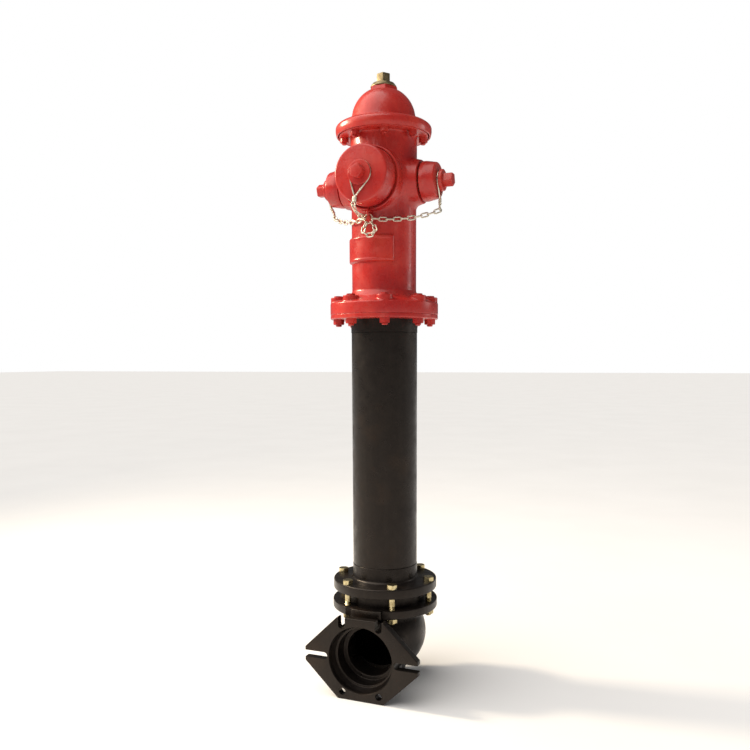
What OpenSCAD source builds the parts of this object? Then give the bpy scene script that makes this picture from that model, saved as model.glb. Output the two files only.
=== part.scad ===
// Dry barrel fire hydrant with one pumper outlet and two hose outlets.
// The barrel axis is Z, the pumper outlet and the inlet face -Y, the hose outlets lie along X.
// The origin is on the barrel axis in the plane that the shoe stands on.

/* [Heights] */
// Height of the inlet's centre above the ground plane
inlet_h = 128; // [120:1:150]
// Height of the shoe's top flange face
shoe_top_z = 272; // [265:1:300]
// Gap between the shoe flange and the standpipe flange, filled by the drain ring
drain_ring_h = 37; // [30:1:45]
// Height of the traffic joint between standpipe and upper barrel
break_z = 1166; // [900:1:1800]
// Height of the outlets above the traffic joint
outlet_rise = 390; // [340:1:430]
// Height of the bonnet joint above the outlets
bonnet_rise = 160; // [150:1:190]

/* [Shoe] */
// Outside radius of the round valve chamber
chamber_r = 131; // [125:1:140]
// Height of the valve chamber's centre
chamber_z = 161; // [155:1:170]
// Wall of the castings below the ground line
cast_wall = 15; // [10:1:18]
// Radius of the shoe's top flange
shoe_flange_r = 167; // [163:1:180]
// Thickness of the shoe's top flange
shoe_flange_t = 26; // [20:1:30]
// Radius of the bolt circle of the lower flanges
lower_pcr = 147; // [143:1:149]
// Bolts in the lower flanges
lower_bolts = 6; // [4:1:8]
// Radius of the foot pad under the shoe
foot_r = 66; // [50:1:80]
// Width of the chamfer round the flanges
flange_chamfer = 4; // [1:0.5:6]

/* [Inlet] */
// Distance of the inlet face from the barrel axis
inlet_reach = 206; // [195:1:240]
// Half width of the inlet flange, to its side corners
inlet_half_w = 185; // [170:1:200]
// Half width of the inlet flange's level edges
inlet_edge_half = 76; // [70:1:90]
// Half height of the upright edges at the side corners
inlet_corner_half = 22; // [18:1:30]
// Thickness of the inlet flange
inlet_flange_t = 24; // [18:1:28]
// Radius of the bolt circle of the inlet
inlet_pcr = 120.65; // [115:0.05:125]
// Radius of the inlet's bolt holes and slots
inlet_hole_r = 11.1; // [9:0.1:12]
// Radius of the gasket recess at the inlet face
gasket_seat_r = 103.5; // [96:0.5:106]
// Depth of the gasket recess
gasket_seat_d = 34; // [20:1:38]
// Radius of the socket that takes the supply pipe
socket_r = 89.7; // [85:0.1:93]
// Depth of the socket from the inlet face
socket_d = 78; // [60:1:85]
// Radius of the water passage
passage_r = 76; // [70:1:80]
// Outside radius of the bell behind the inlet flange
bell_r = 118; // [112:1:124]

/* [Standpipe] */
// Outside radius of the standpipe
pipe_r = 101.6; // [95:0.1:110]
// Wall of the standpipe
pipe_wall = 9; // [6:0.5:12]
// Radius of the standpipe's lower flange
pipe_flange_r = 164.5; // [162:0.5:180]
// Thickness of the standpipe's lower flange
pipe_flange_t = 30; // [20:1:35]
// Height of the lower flange's hub above its face
pipe_hub_h = 47; // [35:1:70]
// Height of the collar at the standpipe's head
collar_h = 53; // [40:1:80]
// Length of each spigot inside a hub
spigot_l = 30; // [20:1:33]

/* [Traffic joint] */
// Radius of the two flanges of the traffic joint
break_flange_r = 166; // [162:1:180]
// Rim thickness of the upper flange
break_flange_t = 35; // [28:1:45]
// Thickness of the breakable ring
break_ring_t = 13; // [11:1:18]
// Radius of the bolt circle
break_pcr = 141; // [136:1:145]
// Bolts in the traffic joint
break_bolts_n = 8; // [6:1:8]
// Radius of the round bosses that carry the bolt heads
boss_r = 24; // [21:1:25]
// Height of the bosses above the flange's rim
boss_h = 19; // [12:1:24]
// Height of the flange's sloping shoulder at the barrel
shoulder_h = 22; // [15:1:30]

/* [Upper barrel] */
// Outside radius of the upper barrel
barrel_r = 98.5; // [92:0.5:104]
// Outside radius of the upper barrel's neck under the bonnet
neck_r = 100.5; // [98:0.5:106]
// Wall of the upper barrel
barrel_wall = 12; // [8:0.5:15]
// Thickness of the flange under the bonnet
top_flange_t = 22; // [18:1:26]
// Radius of the flange under the bonnet
top_flange_r = 134; // [131:1:136]
// Radius of the bonnet's bolt circle
bonnet_pcr = 119; // [118:0.5:120]
// Bolts in the bonnet joint
bonnet_bolts_n = 8; // [6:1:8]
// How far the blank cast panel stands out
panel_t = 7; // [3:0.5:9]
// Height of the blank cast panel
panel_h = 80; // [60:1:100]
// Height of the panel's centre above the traffic joint
panel_z = 192; // [160:1:210]
// Where the panel starts, turned from the pumper outlet
panel_from = -70; // [-90:1:-40]
// Where the panel ends, turned from the pumper outlet
panel_to = 40; // [20:1:60]

/* [Outlets] */
// Outside radius of the barrel's pumper boss
pumper_boss_r = 92; // [88:1:96]
// Distance of the pumper boss's face from the barrel axis
pumper_boss_reach = 114; // [110:1:118]
// Radius of the pumper outlet's thread
pumper_thread_r = 73.15; // [70:0.05:76]
// Radius of the pumper waterway
pumper_bore_r = 57.15; // [54:0.05:60]
// Outside radius of the pumper cap's skirt
pumper_cap_r = 84; // [82:0.5:90]
// Distance of the pumper cap's face from the barrel axis
pumper_cap_reach = 179; // [172:1:190]
// Outside radius of a hose boss at its face
hose_boss_r = 63; // [61:1:66]
// Distance of a hose boss's face from the barrel axis
hose_boss_reach = 125; // [118:1:128]
// Radius of a hose outlet's thread
hose_thread_r = 38.95; // [36:0.05:42]
// Radius of a hose waterway
hose_bore_r = 31.75; // [28:0.05:34]
// Outside radius of a hose cap's skirt
hose_cap_r = 57.5; // [54:0.5:60]
// Distance of a hose cap's face from the barrel axis
hose_cap_reach = 175; // [170:1:185]
// Opening between a boss and the skirt of its cap
cap_seam = 5; // [3:0.5:7]
// Point to flat size of every five-sided nut
nut_size = 38.1; // [32:0.1:42]
// Length of the nut on the pumper cap
pumper_nut_l = 22; // [18:1:30]
// Length of the nut on a hose cap
hose_nut_l = 28; // [25:1:40]

/* [Bonnet] */
// Largest radius of the bonnet's brim
brim_r = 144.5; // [143:0.5:150]
// Depth of the brim below the bonnet joint
brim_drop = 21; // [12:1:24]
// Wall of the brim's skirt
brim_wall = 7; // [5:0.5:8]
// Radius of the dome where it leaves the brim
dome_r = 96; // [94:1:100]
// Height of the dome's shoulder above the bonnet joint
dome_h = 106; // [102:1:115]
// Wall of the bonnet
bonnet_wall = 11; // [8:0.5:13]
// Radius over the corners of the six-sided boss on the bonnet
top_boss_r = 44; // [41:1:48]
// Height of the six-sided boss
top_boss_h = 16; // [12:1:22]

/* [Operating parts] */
// Radius of the operating stem
stem_r = 15.875; // [14:0.005:17]
// Radius of the opening in the valve seat
seat_bore_r = 66.7; // [60:0.1:68]
// Radius of the main valve rubber
valve_r = 76; // [74:1:78]
// Thickness of the main valve rubber
valve_t = 26; // [20:1:30]
// Height of the operating nut's five-sided head
top_nut_h = 28; // [22:1:32]
// Radius of the operating nut's neck
nut_neck_r = 19; // [18:0.1:20]

/* [Chains] */
// How far the chain lug's eye stands out of the barrel
lug_reach = 21; // [18:1:26]
// Depth of the chain lug below the outlets
lug_drop = 101; // [98:1:110]
// Radius of the chain wire
wire_r = 1.8; // [1.4:0.1:2.2]
// Inside width of a chain link
link_w = 7; // [6.4:0.1:8]
// Links in the chain of each hose cap
side_links = 10; // [9:1:11]
// Links in the pumper cap's chain
pumper_links = 4; // [4:1:5]
// Links in the loop of slack that hangs under the lug
slack_links = 7; // [5:2:7]

/* [Hidden] */
$fn = 64;

// Overrun of every cut past the face that it leaves
cut = 2;
// Clearance between pieces that are fixed to each other
fixed_gap = 0.1;
// Clearance between a shaft and the hole that it turns or slides in
running_gap = 0.06;
// Clearance between pieces of different bodies that pass each other
free_gap = 0.4;

red = [0.72, 0.12, 0.12];
black = [0.12, 0.11, 0.11];
bronze = [0.62, 0.52, 0.32];
steel = [0.72, 0.68, 0.55];
rubber = [0.08, 0.08, 0.08];

outlet_z = break_z + outlet_rise;
bonnet_z = outlet_z + bonnet_rise;
drain_top_z = shoe_top_z + drain_ring_h;
pipe_start_z = drain_top_z + pipe_flange_t + pipe_hub_h;
pipe_end_z = break_z - collar_h;
pipe_bore_r = pipe_r - pipe_wall;
spigot_r = pipe_r - pipe_wall / 2;
hub_proud = 1;
hub_r = pipe_r + hub_proud;
chamber_in_r = chamber_r - cast_wall;

// Bolt sizes
lower_bolt_r = 9.5;
lower_head_r = 17;
lower_head_h = 13;
break_bolt_r = 9.5;
break_head_r = 14;
break_head_h = 5;
break_nut_h = 15;
bonnet_bolt_r = 7.9;
bonnet_head_r = 13.5;
bonnet_nut_h = 14;
bolt_tail = 6;

// Drain ring and seat ring
drain_ring_r = 126;
seat_thread_r = 86;
seat_head_r = 90;
seat_head_h = 14;
seat_lip_r = 84;
seat_lip_drop = 24;
drain_port_r = 5;
throat_r = 100;
seal_w = 4;
seal_r = 108;

// Collar lip under the traffic joint
lip_r = 118;
lip_t = 6;
gasket_t = 2;

// Stem train
seat_face_z = shoe_top_z - seat_lip_drop;
valve_bottom_z = seat_face_z - valve_t;
plate_t = 17;
plate_r = 60;
cap_nut_h = 20;
cap_nut_r = 26;
stem_tip_r = 12.7;
drain_valve_h = 112;
drain_valve_r = 62;
drain_plate_t = 14;
drain_hub_r = 30;
facing_h = 88;
facing_w = 30;
coupling_r = 25;
coupling_l = 90;
pin_r = 5;
stem_joint_gap = 2;

// Top works
seal_plate_r = 94;
seal_plate_t = 14;
seal_plate_drop = 5;
seal_plate_hub_r = 32;
seal_plate_hub_h = 20;
bonnet_stud_depth = 10;
hold_thread_r = 31;
hold_down_r = 39;
hold_top_r = 31.5;
hold_h = 12;
collar_r = 27;
nut_collar_t = 11;
washer_t = 2.5;
nut_tube_r = 22.5;
nut_tube_l = 74;
nut_ledge_t = 8;
hold_thread_l = 12;
seal_groove_h = 4;

top_boss_z = bonnet_z + dome_h;
boss_top_z = top_boss_z + top_boss_h;
hold_top_z = boss_top_z + hold_h;
nut_collar_z = boss_top_z - hold_thread_l - nut_collar_t - free_gap;
nut_tube_z = nut_collar_z - nut_tube_l;

// Turns a piece drawn along Z to point out of an outlet: 0 pumper, 1 right hose, 2 left hose
module at_outlet(side) {
  translate([0, 0, outlet_z])
    rotate(side == 0 ? [90, 0, 0] : side == 1 ? [0, 90, 0] : [0, -90, 0]) children();
}

// A ring with square edges standing on z
module ring(outer, inner, z, h) {
  translate([0, 0, z]) difference() {
    cylinder(r = outer, h = h);
    translate([0, 0, -cut]) cylinder(r = inner, h = h + 2 * cut);
  }
}

// A round disc with chamfered edges, top and bottom set apart
module rim(r, z, h, low = 0, high = 0) {
  translate([0, 0, z]) rotate_extrude()
    polygon([[0, 0], [r - low, 0], [r, low], [r, h - high], [r - high, h], [0, h]]);
}

module place_bolts(count, radius, turn) {
  for (i = [0:count - 1]) rotate([0, 0, turn + i * 360 / count]) translate([radius, 0, 0]) children();
}

// Angles that straddle the pumper's centre line
lower_turn = -90 + 180 / lower_bolts;
break_turn = -90 + 180 / break_bolts_n;
bonnet_turn = -90 + 180 / bonnet_bolts_n;

// A hexagon head whose underside lies at z, with a washer face
washer_face_share = 0.12;
head_crown_share = 0.88;
module hex_head(r, h, z) {
  translate([0, 0, z]) {
    cylinder(r = r * head_crown_share, h = h * washer_face_share);
    intersection() {
      translate([0, 0, h * washer_face_share]) cylinder(r = r, h = h - h * washer_face_share, $fn = 6);
      rotate_extrude()
        polygon([[0, 0], [r, 0], [r, h * head_crown_share], [r * head_crown_share, h], [0, h]]);
    }
  }
}

// A nut whose upper face lies at z
module hex_nut(r, bore, h, z) {
  translate([0, 0, z]) mirror([0, 0, 1]) difference() {
    hex_head(r, h, 0);
    translate([0, 0, -cut]) cylinder(r = bore, h = h + 2 * cut);
  }
}

// A five-sided wrench nut from z, with a slightly crowned end
nut_crown_share = 0.9;
nut_point_share = 1 / (1 + cos(36));
module wrench_nut(z, h) {
  r = nut_size * nut_point_share;
  translate([0, 0, z]) intersection() {
    cylinder(r = r, h = h, $fn = 5);
    rotate_extrude() polygon([[0, 0], [r, 0], [r, h * nut_crown_share], [r * nut_crown_share, h], [0, h]]);
  }
}

module shoe_outline() {
  side_z = inlet_corner_half;
  polygon([
    [-inlet_edge_half, -inlet_h], [inlet_edge_half, -inlet_h],
    [inlet_half_w, -side_z], [inlet_half_w, side_z],
    [inlet_edge_half, inlet_h], [-inlet_edge_half, inlet_h],
    [-inlet_half_w, side_z], [-inlet_half_w, -side_z]
  ]);
}

// Bolt slot centres: two closed holes below, two slots that open sideways and two that open upwards
module inlet_bolt_cuts() {
  bx = inlet_pcr * cos(60);
  bz = inlet_pcr * sin(60);
  for (s = [-1, 1]) {
    translate([s * bx, -bz]) circle(r = inlet_hole_r);
    translate([s * bx, bz]) circle(r = inlet_hole_r);
    translate([s * bx - inlet_hole_r, bz]) square([2 * inlet_hole_r, inlet_h]);
    translate([s * inlet_pcr, 0]) circle(r = inlet_hole_r);
    translate([s > 0 ? inlet_pcr : -inlet_pcr - inlet_half_w, -inlet_hole_r])
      square([inlet_half_w, 2 * inlet_hole_r]);
  }
}

module at_inlet() {
  translate([0, 0, inlet_h]) rotate([90, 0, 0]) children();
}

neck_share = 0.86;
bell_root_r = 96;
bell_flare = 27;
module shoe() {
  flange_back = inlet_reach - inlet_flange_t;
  bell_y = flange_back - 2 * cast_wall;
  color(black) difference() {
    union() {
      rotate_extrude() union() {
        intersection() {
          translate([0, chamber_z]) circle(r = chamber_r);
          square([chamber_r, shoe_top_z]);
        }
        square([foot_r, inlet_h]);
        translate([0, chamber_z]) square([chamber_r * neck_share, shoe_top_z - chamber_z]);
        translate([0, shoe_top_z - shoe_flange_t]) polygon([
          [0, 0], [shoe_flange_r - flange_chamfer, 0], [shoe_flange_r, flange_chamfer],
          [shoe_flange_r, shoe_flange_t - flange_chamfer / 2],
          [shoe_flange_r - flange_chamfer / 2, shoe_flange_t],
          [0, shoe_flange_t]
        ]);
      }
      at_inlet() rotate_extrude() polygon([
        [0, 0], [bell_root_r, 0], [bell_root_r, bell_y - bell_flare], [bell_r, bell_y],
        [bell_r, flange_back + cut], [0, flange_back + cut]
      ]);
      at_inlet() translate([0, 0, flange_back]) linear_extrude(inlet_flange_t) shoe_outline();
    }
    // waterway from the socket to the throat
    rotate_extrude() union() {
      intersection() {
        translate([0, chamber_z]) circle(r = chamber_in_r);
        square([chamber_in_r, shoe_top_z]);
      }
      translate([0, chamber_z]) square([throat_r, shoe_top_z - chamber_z + cut]);
    }
    at_inlet() rotate_extrude() polygon([
      [0, 0], [passage_r, 0], [passage_r, inlet_reach - socket_d], [socket_r, inlet_reach - socket_d],
      [socket_r, inlet_reach - gasket_seat_d], [gasket_seat_r - cast_wall / 2, inlet_reach - gasket_seat_d],
      [gasket_seat_r, inlet_reach - gasket_seat_d / 2], [gasket_seat_r, inlet_reach + cut],
      [0, inlet_reach + cut]
    ]);
    at_inlet() translate([0, 0, flange_back - cast_wall])
      linear_extrude(inlet_flange_t + cast_wall + cut) inlet_bolt_cuts();
    lower_bolt_holes(shoe_top_z - shoe_flange_t - cut, shoe_flange_t + 2 * cut);
  }
}

module drain_ring() {
  color(black) difference() {
    ring(drain_ring_r, seat_thread_r + fixed_gap, shoe_top_z, drain_ring_h);
    for (z = [shoe_top_z - cut, drain_top_z - seal_w]) ring(seal_r + seal_w, seal_r, z, seal_w + cut);
    translate([0, 0, shoe_top_z + drain_ring_h / 2]) rotate([0, 90, 0])
      translate([0, 0, -drain_ring_r - cut]) cylinder(r = drain_port_r, h = 2 * drain_ring_r + 2 * cut);
  }
}

module seat_ring() {
  color(bronze) difference() {
    translate([0, 0, seat_face_z]) rotate_extrude() polygon([
      [seat_bore_r, 0], [seat_lip_r - flange_chamfer, 0], [seat_lip_r, flange_chamfer],
      [seat_lip_r, seat_lip_drop], [seat_thread_r, seat_lip_drop],
      [seat_thread_r, seat_lip_drop + drain_ring_h],
      [seat_head_r, seat_lip_drop + drain_ring_h],
      [seat_head_r, seat_lip_drop + drain_ring_h + seat_head_h],
      [seat_bore_r + flange_chamfer, seat_lip_drop + drain_ring_h + seat_head_h],
      [seat_bore_r, seat_lip_drop + drain_ring_h + seat_head_h - flange_chamfer]
    ]);
    translate([0, 0, shoe_top_z + drain_ring_h / 2]) rotate([0, 90, 0])
      translate([0, 0, -seat_head_r]) cylinder(r = drain_port_r, h = 2 * seat_head_r);
  }
}

module drain_ring_seal(z) {
  color(rubber) ring(seal_r + seal_w - fixed_gap, seal_r + fixed_gap, z + fixed_gap, seal_w - 2 * fixed_gap);
}

module drain_ring_seal_upper() { drain_ring_seal(drain_top_z - seal_w); }
module drain_ring_seal_lower() { drain_ring_seal(shoe_top_z); }

// Bolt holes of the lower joint, through whatever stands between z and z + h
module lower_bolt_holes(z, h) {
  place_bolts(lower_bolts, lower_pcr, lower_turn)
    translate([0, 0, z]) cylinder(r = lower_bolt_r + fixed_gap, h = h);
}

module break_bolt_holes(z, h) {
  place_bolts(break_bolts_n, break_pcr, break_turn)
    translate([0, 0, z]) cylinder(r = break_bolt_r + fixed_gap, h = h);
}

module bonnet_bolt_holes(z, h) {
  place_bolts(bonnet_bolts_n, bonnet_pcr, bonnet_turn)
    translate([0, 0, z]) cylinder(r = bonnet_bolt_r + fixed_gap, h = h);
}

fillet = 7;
module standpipe_flange() {
  color(black) difference() {
    translate([0, 0, drain_top_z]) rotate_extrude() polygon([
      [pipe_bore_r, 0], [pipe_flange_r - flange_chamfer / 2, 0], [pipe_flange_r, flange_chamfer / 2],
      [pipe_flange_r, pipe_flange_t - flange_chamfer], [pipe_flange_r - flange_chamfer, pipe_flange_t],
      [hub_r + fillet, pipe_flange_t], [hub_r + fillet / 4, pipe_flange_t + fillet / 4],
      [hub_r, pipe_flange_t + fillet],
      [hub_r, pipe_flange_t + pipe_hub_h - fixed_gap],
      [spigot_r + fixed_gap, pipe_flange_t + pipe_hub_h - fixed_gap],
      [spigot_r + fixed_gap, pipe_flange_t + pipe_hub_h - spigot_l - fixed_gap],
      [pipe_bore_r, pipe_flange_t + pipe_hub_h - spigot_l - fixed_gap]
    ]);
    lower_bolt_holes(drain_top_z - cut, pipe_flange_t + 2 * cut);
    place_bolts(lower_bolts, lower_pcr, lower_turn)
      translate([0, 0, drain_top_z + pipe_flange_t]) cylinder(r = lower_head_r + cut, h = lower_head_h);
  }
}

module standpipe() {
  l = pipe_end_z - pipe_start_z;
  edge = fixed_gap + flange_chamfer / 4;
  color(black) translate([0, 0, pipe_start_z]) rotate_extrude() polygon([
    [pipe_bore_r, -spigot_l], [spigot_r, -spigot_l], [spigot_r, 0], [pipe_r - edge, 0], [pipe_r, edge],
    [pipe_r, l - edge], [pipe_r - edge, l], [spigot_r, l], [spigot_r, l + spigot_l],
    [pipe_bore_r, l + spigot_l]
  ]);
}

module standpipe_collar() {
  gasket_in = pipe_bore_r + gasket_t;
  color(black) translate([0, 0, pipe_end_z + fixed_gap]) rotate_extrude() polygon([
    [spigot_r + fixed_gap, 0], [hub_r, 0], [hub_r, collar_h - fixed_gap - lip_t],
    [lip_r, collar_h - fixed_gap - lip_t], [lip_r, collar_h - fixed_gap],
    [lip_r - lip_t, collar_h - fixed_gap], [lip_r - lip_t, collar_h - fixed_gap - gasket_t],
    [gasket_in, collar_h - fixed_gap - gasket_t], [gasket_in, collar_h - fixed_gap],
    [pipe_bore_r, collar_h - fixed_gap], [pipe_bore_r, spigot_l + fixed_gap],
    [spigot_r + fixed_gap, spigot_l + fixed_gap]
  ]);
}

module barrel_gasket() {
  color(rubber) ring(lip_r - lip_t - fixed_gap, pipe_bore_r + gasket_t + fixed_gap,
    break_z - gasket_t + fixed_gap / 2, gasket_t - fixed_gap);
}

module break_ring() {
  r = break_flange_r - fixed_gap * flange_chamfer;
  color(red) difference() {
    translate([0, 0, break_z - break_ring_t]) rotate_extrude() polygon([
      [hub_r + 2 * fixed_gap, 0], [r - flange_chamfer, 0], [r, flange_chamfer], [r, break_ring_t],
      [lip_r + fixed_gap, break_ring_t], [lip_r + fixed_gap, break_ring_t - lip_t - fixed_gap],
      [hub_r + 2 * fixed_gap, break_ring_t - lip_t - fixed_gap]
    ]);
    break_bolt_holes(break_z - break_ring_t - cut, break_ring_t + 2 * cut);
  }
}

module shoe_bolts() {
  top = drain_top_z + pipe_flange_t;
  color(steel) place_bolts(lower_bolts, lower_pcr, lower_turn) {
    hex_head(lower_head_r, lower_head_h, top);
    translate([0, 0, shoe_top_z - shoe_flange_t - lower_head_h - bolt_tail])
      cylinder(r = lower_bolt_r, h = top - shoe_top_z + shoe_flange_t + lower_head_h + bolt_tail);
  }
}

module shoe_nuts() {
  color(steel) place_bolts(lower_bolts, lower_pcr, lower_turn)
    hex_nut(lower_head_r, lower_bolt_r + fixed_gap, lower_head_h, shoe_top_z - shoe_flange_t);
}

module break_bolts() {
  top = break_z + break_flange_t + boss_h;
  low = break_z - break_ring_t - break_nut_h - bolt_tail;
  color(red) place_bolts(break_bolts_n, break_pcr, break_turn) {
    hex_head(break_head_r, break_head_h, top);
    translate([0, 0, low]) cylinder(r = break_bolt_r, h = top - low);
  }
}

module break_nuts() {
  color(red) place_bolts(break_bolts_n, break_pcr, break_turn)
    hex_nut(break_head_r, break_bolt_r + fixed_gap, break_nut_h, break_z - break_ring_t);
}

// Upper barrel

barrel_bore_r = barrel_r - barrel_wall;
pumper_shank_step = 7;
hose_shank_step = 3;
pumper_shank_r = pumper_thread_r - pumper_shank_step;
hose_shank_r = hose_thread_r + hose_shank_step;
hose_boss_root_r = hose_boss_r + 2 * fillet;
boss_root_share = 0.75;
screw_r = 4;
screw_back = 14;
lug_t = 6;
lug_r = 10;
lug_hole_r = 6;
lug_y = barrel_r + lug_reach;

module barrel_body() {
  bore = barrel_bore_r;
  t = break_flange_t;
  h = bonnet_z - break_z;
  neck_z = outlet_rise;
  translate([0, 0, break_z]) rotate_extrude() polygon([
    [bore, 0], [break_flange_r - flange_chamfer / 2, 0], [break_flange_r, flange_chamfer / 2],
    [break_flange_r, t - flange_chamfer], [break_flange_r - flange_chamfer, t],
    [barrel_r + fillet, t + shoulder_h - fillet / 2], [barrel_r + fillet / 3, t + shoulder_h],
    [barrel_r, t + shoulder_h + fillet],
    [barrel_r, neck_z - fillet], [neck_r, neck_z + fillet],
    [neck_r, h - top_flange_t - fillet / 2], [neck_r + fillet / 2, h - top_flange_t],
    [top_flange_r, h - top_flange_t], [top_flange_r, h],
    [seal_plate_r + fixed_gap, h], [seal_plate_r + fixed_gap, h - seal_plate_drop],
    [bore, h - seal_plate_drop]
  ]);
}

// The boss that carries an outlet, from the barrel axis to its face
module outlet_boss(r, root_r, reach) {
  edge = flange_chamfer;
  rotate_extrude() polygon([
    [0, 0], [root_r, 0], [root_r, barrel_r * boss_root_share], [r, reach - edge],
    [r - edge / 2, reach], [0, reach]
  ]);
}

module panel() {
  step = panel_t / 2;
  rotate([0, 0, -90 + panel_from]) translate([0, 0, break_z + panel_z - panel_h / 2])
    rotate_extrude(angle = panel_to - panel_from) polygon([
      [barrel_r - panel_t, -step], [barrel_r + panel_t, step], [barrel_r + panel_t, panel_h - step],
      [barrel_r - panel_t, panel_h + step]
    ]);
}

module chain_lug() {
  root = barrel_r - barrel_wall / 4;
  back = barrel_r - barrel_wall / 2;
  translate([-lug_t / 2, 0, outlet_z - lug_drop]) rotate([90, 0, 90]) linear_extrude(lug_t) difference() {
    union() {
      translate([-lug_y, 0]) circle(r = lug_r);
      polygon([
        [-lug_y, -lug_r], [-lug_y, lug_r], [-root, 2 * lug_r], [-back, 2 * lug_r],
        [-back, -2 * lug_r], [-root, -2 * lug_r]
      ]);
    }
    translate([-lug_y, 0]) circle(r = lug_hole_r);
  }
}

module upper_barrel() {
  color(red) difference() {
    union() {
      barrel_body();
      at_outlet(0) outlet_boss(pumper_boss_r, pumper_boss_r, pumper_boss_reach);
      for (side = [1, 2]) at_outlet(side) outlet_boss(hose_boss_r, hose_boss_root_r, hose_boss_reach);
      place_bolts(break_bolts_n, break_pcr, break_turn)
        rim(boss_r, break_z + break_flange_t / 2, break_flange_t / 2 + boss_h, 0, flange_chamfer / 2);
      panel();
      chain_lug();
    }
    // bore
    translate([0, 0, break_z - cut])
      cylinder(r = barrel_bore_r, h = bonnet_z - break_z - seal_plate_drop + cut);
    at_outlet(0) cylinder(r = pumper_shank_r + fixed_gap, h = pumper_boss_reach + cut);
    for (side = [1, 2]) at_outlet(side) cylinder(r = hose_shank_r + fixed_gap, h = hose_boss_reach + cut);
    break_bolt_holes(break_z - cut, break_flange_t + boss_h + 2 * cut);
    bonnet_bolt_holes(bonnet_z - top_flange_t - cut, top_flange_t + 2 * cut);
    // screws that hold the outlets
    nozzle_screw_holes();
  }
}

module at_screw(side) {
  reach = side == 0 ? pumper_boss_reach : hose_boss_reach;
  shank = side == 0 ? pumper_shank_r : hose_shank_r;
  at_outlet_up(side) translate([0, -shank - fixed_gap, reach - screw_back]) rotate([90, 0, 0]) children();
}

// As at_outlet, with local +Y pointing up
module at_outlet_up(side) {
  at_outlet(side) rotate([0, 0, side == 1 ? 90 : side == 2 ? -90 : 0]) children();
}

function screw_len(side) = side == 0 ? pumper_boss_r - pumper_shank_r : hose_boss_r - hose_shank_r;

module nozzle_screw_holes() {
  for (side = [0:2]) at_screw(side)
    translate([0, 0, -cut]) cylinder(r = screw_r + fixed_gap, h = screw_len(side) + 2 * cut + fillet);
}

module nozzle_screws() {
  color(steel) for (side = [0:2]) at_screw(side) cylinder(r = screw_r, h = screw_len(side) - cut);
}

// Bonnet and operating nut

brim_curve_r = 43;
brim_curve_h = 19;
dome_low = 29;
dome_high = 93;
dome_start = 12;
dome_steps = 8;
cove = 8;
hub_wall = 10;
seal_recess_t = 3.5;
seal_recess_r = 25;
nut_bore_cap = 4;
stem_top_gap = 3;
gasket_in_r = 98;
gasket_out_r = 108;

module bonnet() {
  dome_end = acos(top_boss_r / dome_r);
  inner_r = dome_r - bonnet_wall;
  inner_high = dome_high - bonnet_wall;
  brim_in = brim_r - brim_wall;
  recess_r = seal_plate_r + fixed_gap;
  recess_h = seal_plate_t - seal_plate_drop + fixed_gap;
  low = bonnet_z;
  ledge_z = nut_collar_z - washer_t - nut_ledge_t;
  color(red) difference() {
    union() {
      translate([0, 0, low]) rotate_extrude() polygon(concat(
        [[recess_r, 0], [brim_in, 0], [brim_in, -brim_drop], [brim_r - brim_wall / 4, -brim_drop],
         [brim_r, -brim_drop / 2]],
        [for (i = [0:dome_steps]) let (a = 80 * i / dome_steps)
          [brim_r - brim_curve_r + brim_curve_r * cos(a), brim_curve_h * sin(a)]],
        [[dome_r + cove, brim_curve_h], [dome_r + cove / 4, brim_curve_h + cove / 2]],
        [for (i = [0:dome_steps]) let (a = dome_start + (dome_end - dome_start) * i / dome_steps)
          [dome_r * cos(a), dome_low + dome_high * sin(a)]],
        [[0, dome_low + dome_high * sin(dome_end)], [0, dome_low + inner_high]],
        [for (i = [dome_steps:-1:0]) let (a = i * dome_end / dome_steps)
          [inner_r * cos(a), dome_low + inner_high * sin(a)]],
        [[inner_r, recess_h], [recess_r, recess_h]]
      ));
      translate([0, 0, ledge_z])
        cylinder(r = hold_thread_r + hub_wall, h = boss_top_z - ledge_z - flange_chamfer);
      intersection() {
        translate([0, 0, top_boss_z - top_boss_h]) cylinder(r = top_boss_r, h = 2 * top_boss_h, $fn = 6);
        rim(top_boss_r, top_boss_z - top_boss_h, 2 * top_boss_h, 0, flange_chamfer);
      }
    }
    translate([0, 0, nut_collar_z - washer_t]) cylinder(r = hold_thread_r, h = boss_top_z);
    translate([0, 0, ledge_z - cut]) cylinder(r = nut_tube_r + free_gap, h = nut_ledge_t + 2 * cut);
    ring(gasket_out_r, gasket_in_r, bonnet_z - cut, gasket_t + cut);
    bonnet_bolt_holes(bonnet_z - cut, bonnet_stud_depth + cut);
  }
}

module bonnet_gasket() {
  color(rubber) ring(gasket_out_r - fixed_gap, gasket_in_r + fixed_gap, bonnet_z, gasket_t - fixed_gap);
}

module bonnet_bolts() {
  low = bonnet_z - top_flange_t - bonnet_nut_h - bolt_tail;
  color(red) place_bolts(bonnet_bolts_n, bonnet_pcr, bonnet_turn)
    translate([0, 0, low]) cylinder(r = bonnet_bolt_r, h = bonnet_z + bonnet_stud_depth - fixed_gap - low);
}

module bonnet_nuts() {
  color(red) place_bolts(bonnet_bolts_n, bonnet_pcr, bonnet_turn)
    hex_nut(bonnet_head_r, bonnet_bolt_r + fixed_gap, bonnet_nut_h, bonnet_z - top_flange_t);
}

module hold_down_nut() {
  bore = nut_neck_r + running_gap;
  color(bronze) translate([0, 0, boss_top_z]) rotate_extrude() polygon([
    [bore, -hold_thread_l], [hold_thread_r - fixed_gap, -hold_thread_l], [hold_thread_r - fixed_gap, 0],
    [hold_down_r, 0], [hold_down_r, hold_h / 4], [hold_top_r, hold_h - fixed_gap],
    [seal_recess_r, hold_h - fixed_gap],
    [seal_recess_r, hold_h - seal_recess_t], [bore, hold_h - seal_recess_t]
  ]);
}

module weather_seal() {
  color(rubber) ring(seal_recess_r - fixed_gap, nut_neck_r + free_gap, hold_top_z - seal_recess_t,
    seal_recess_t - fixed_gap);
}

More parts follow.
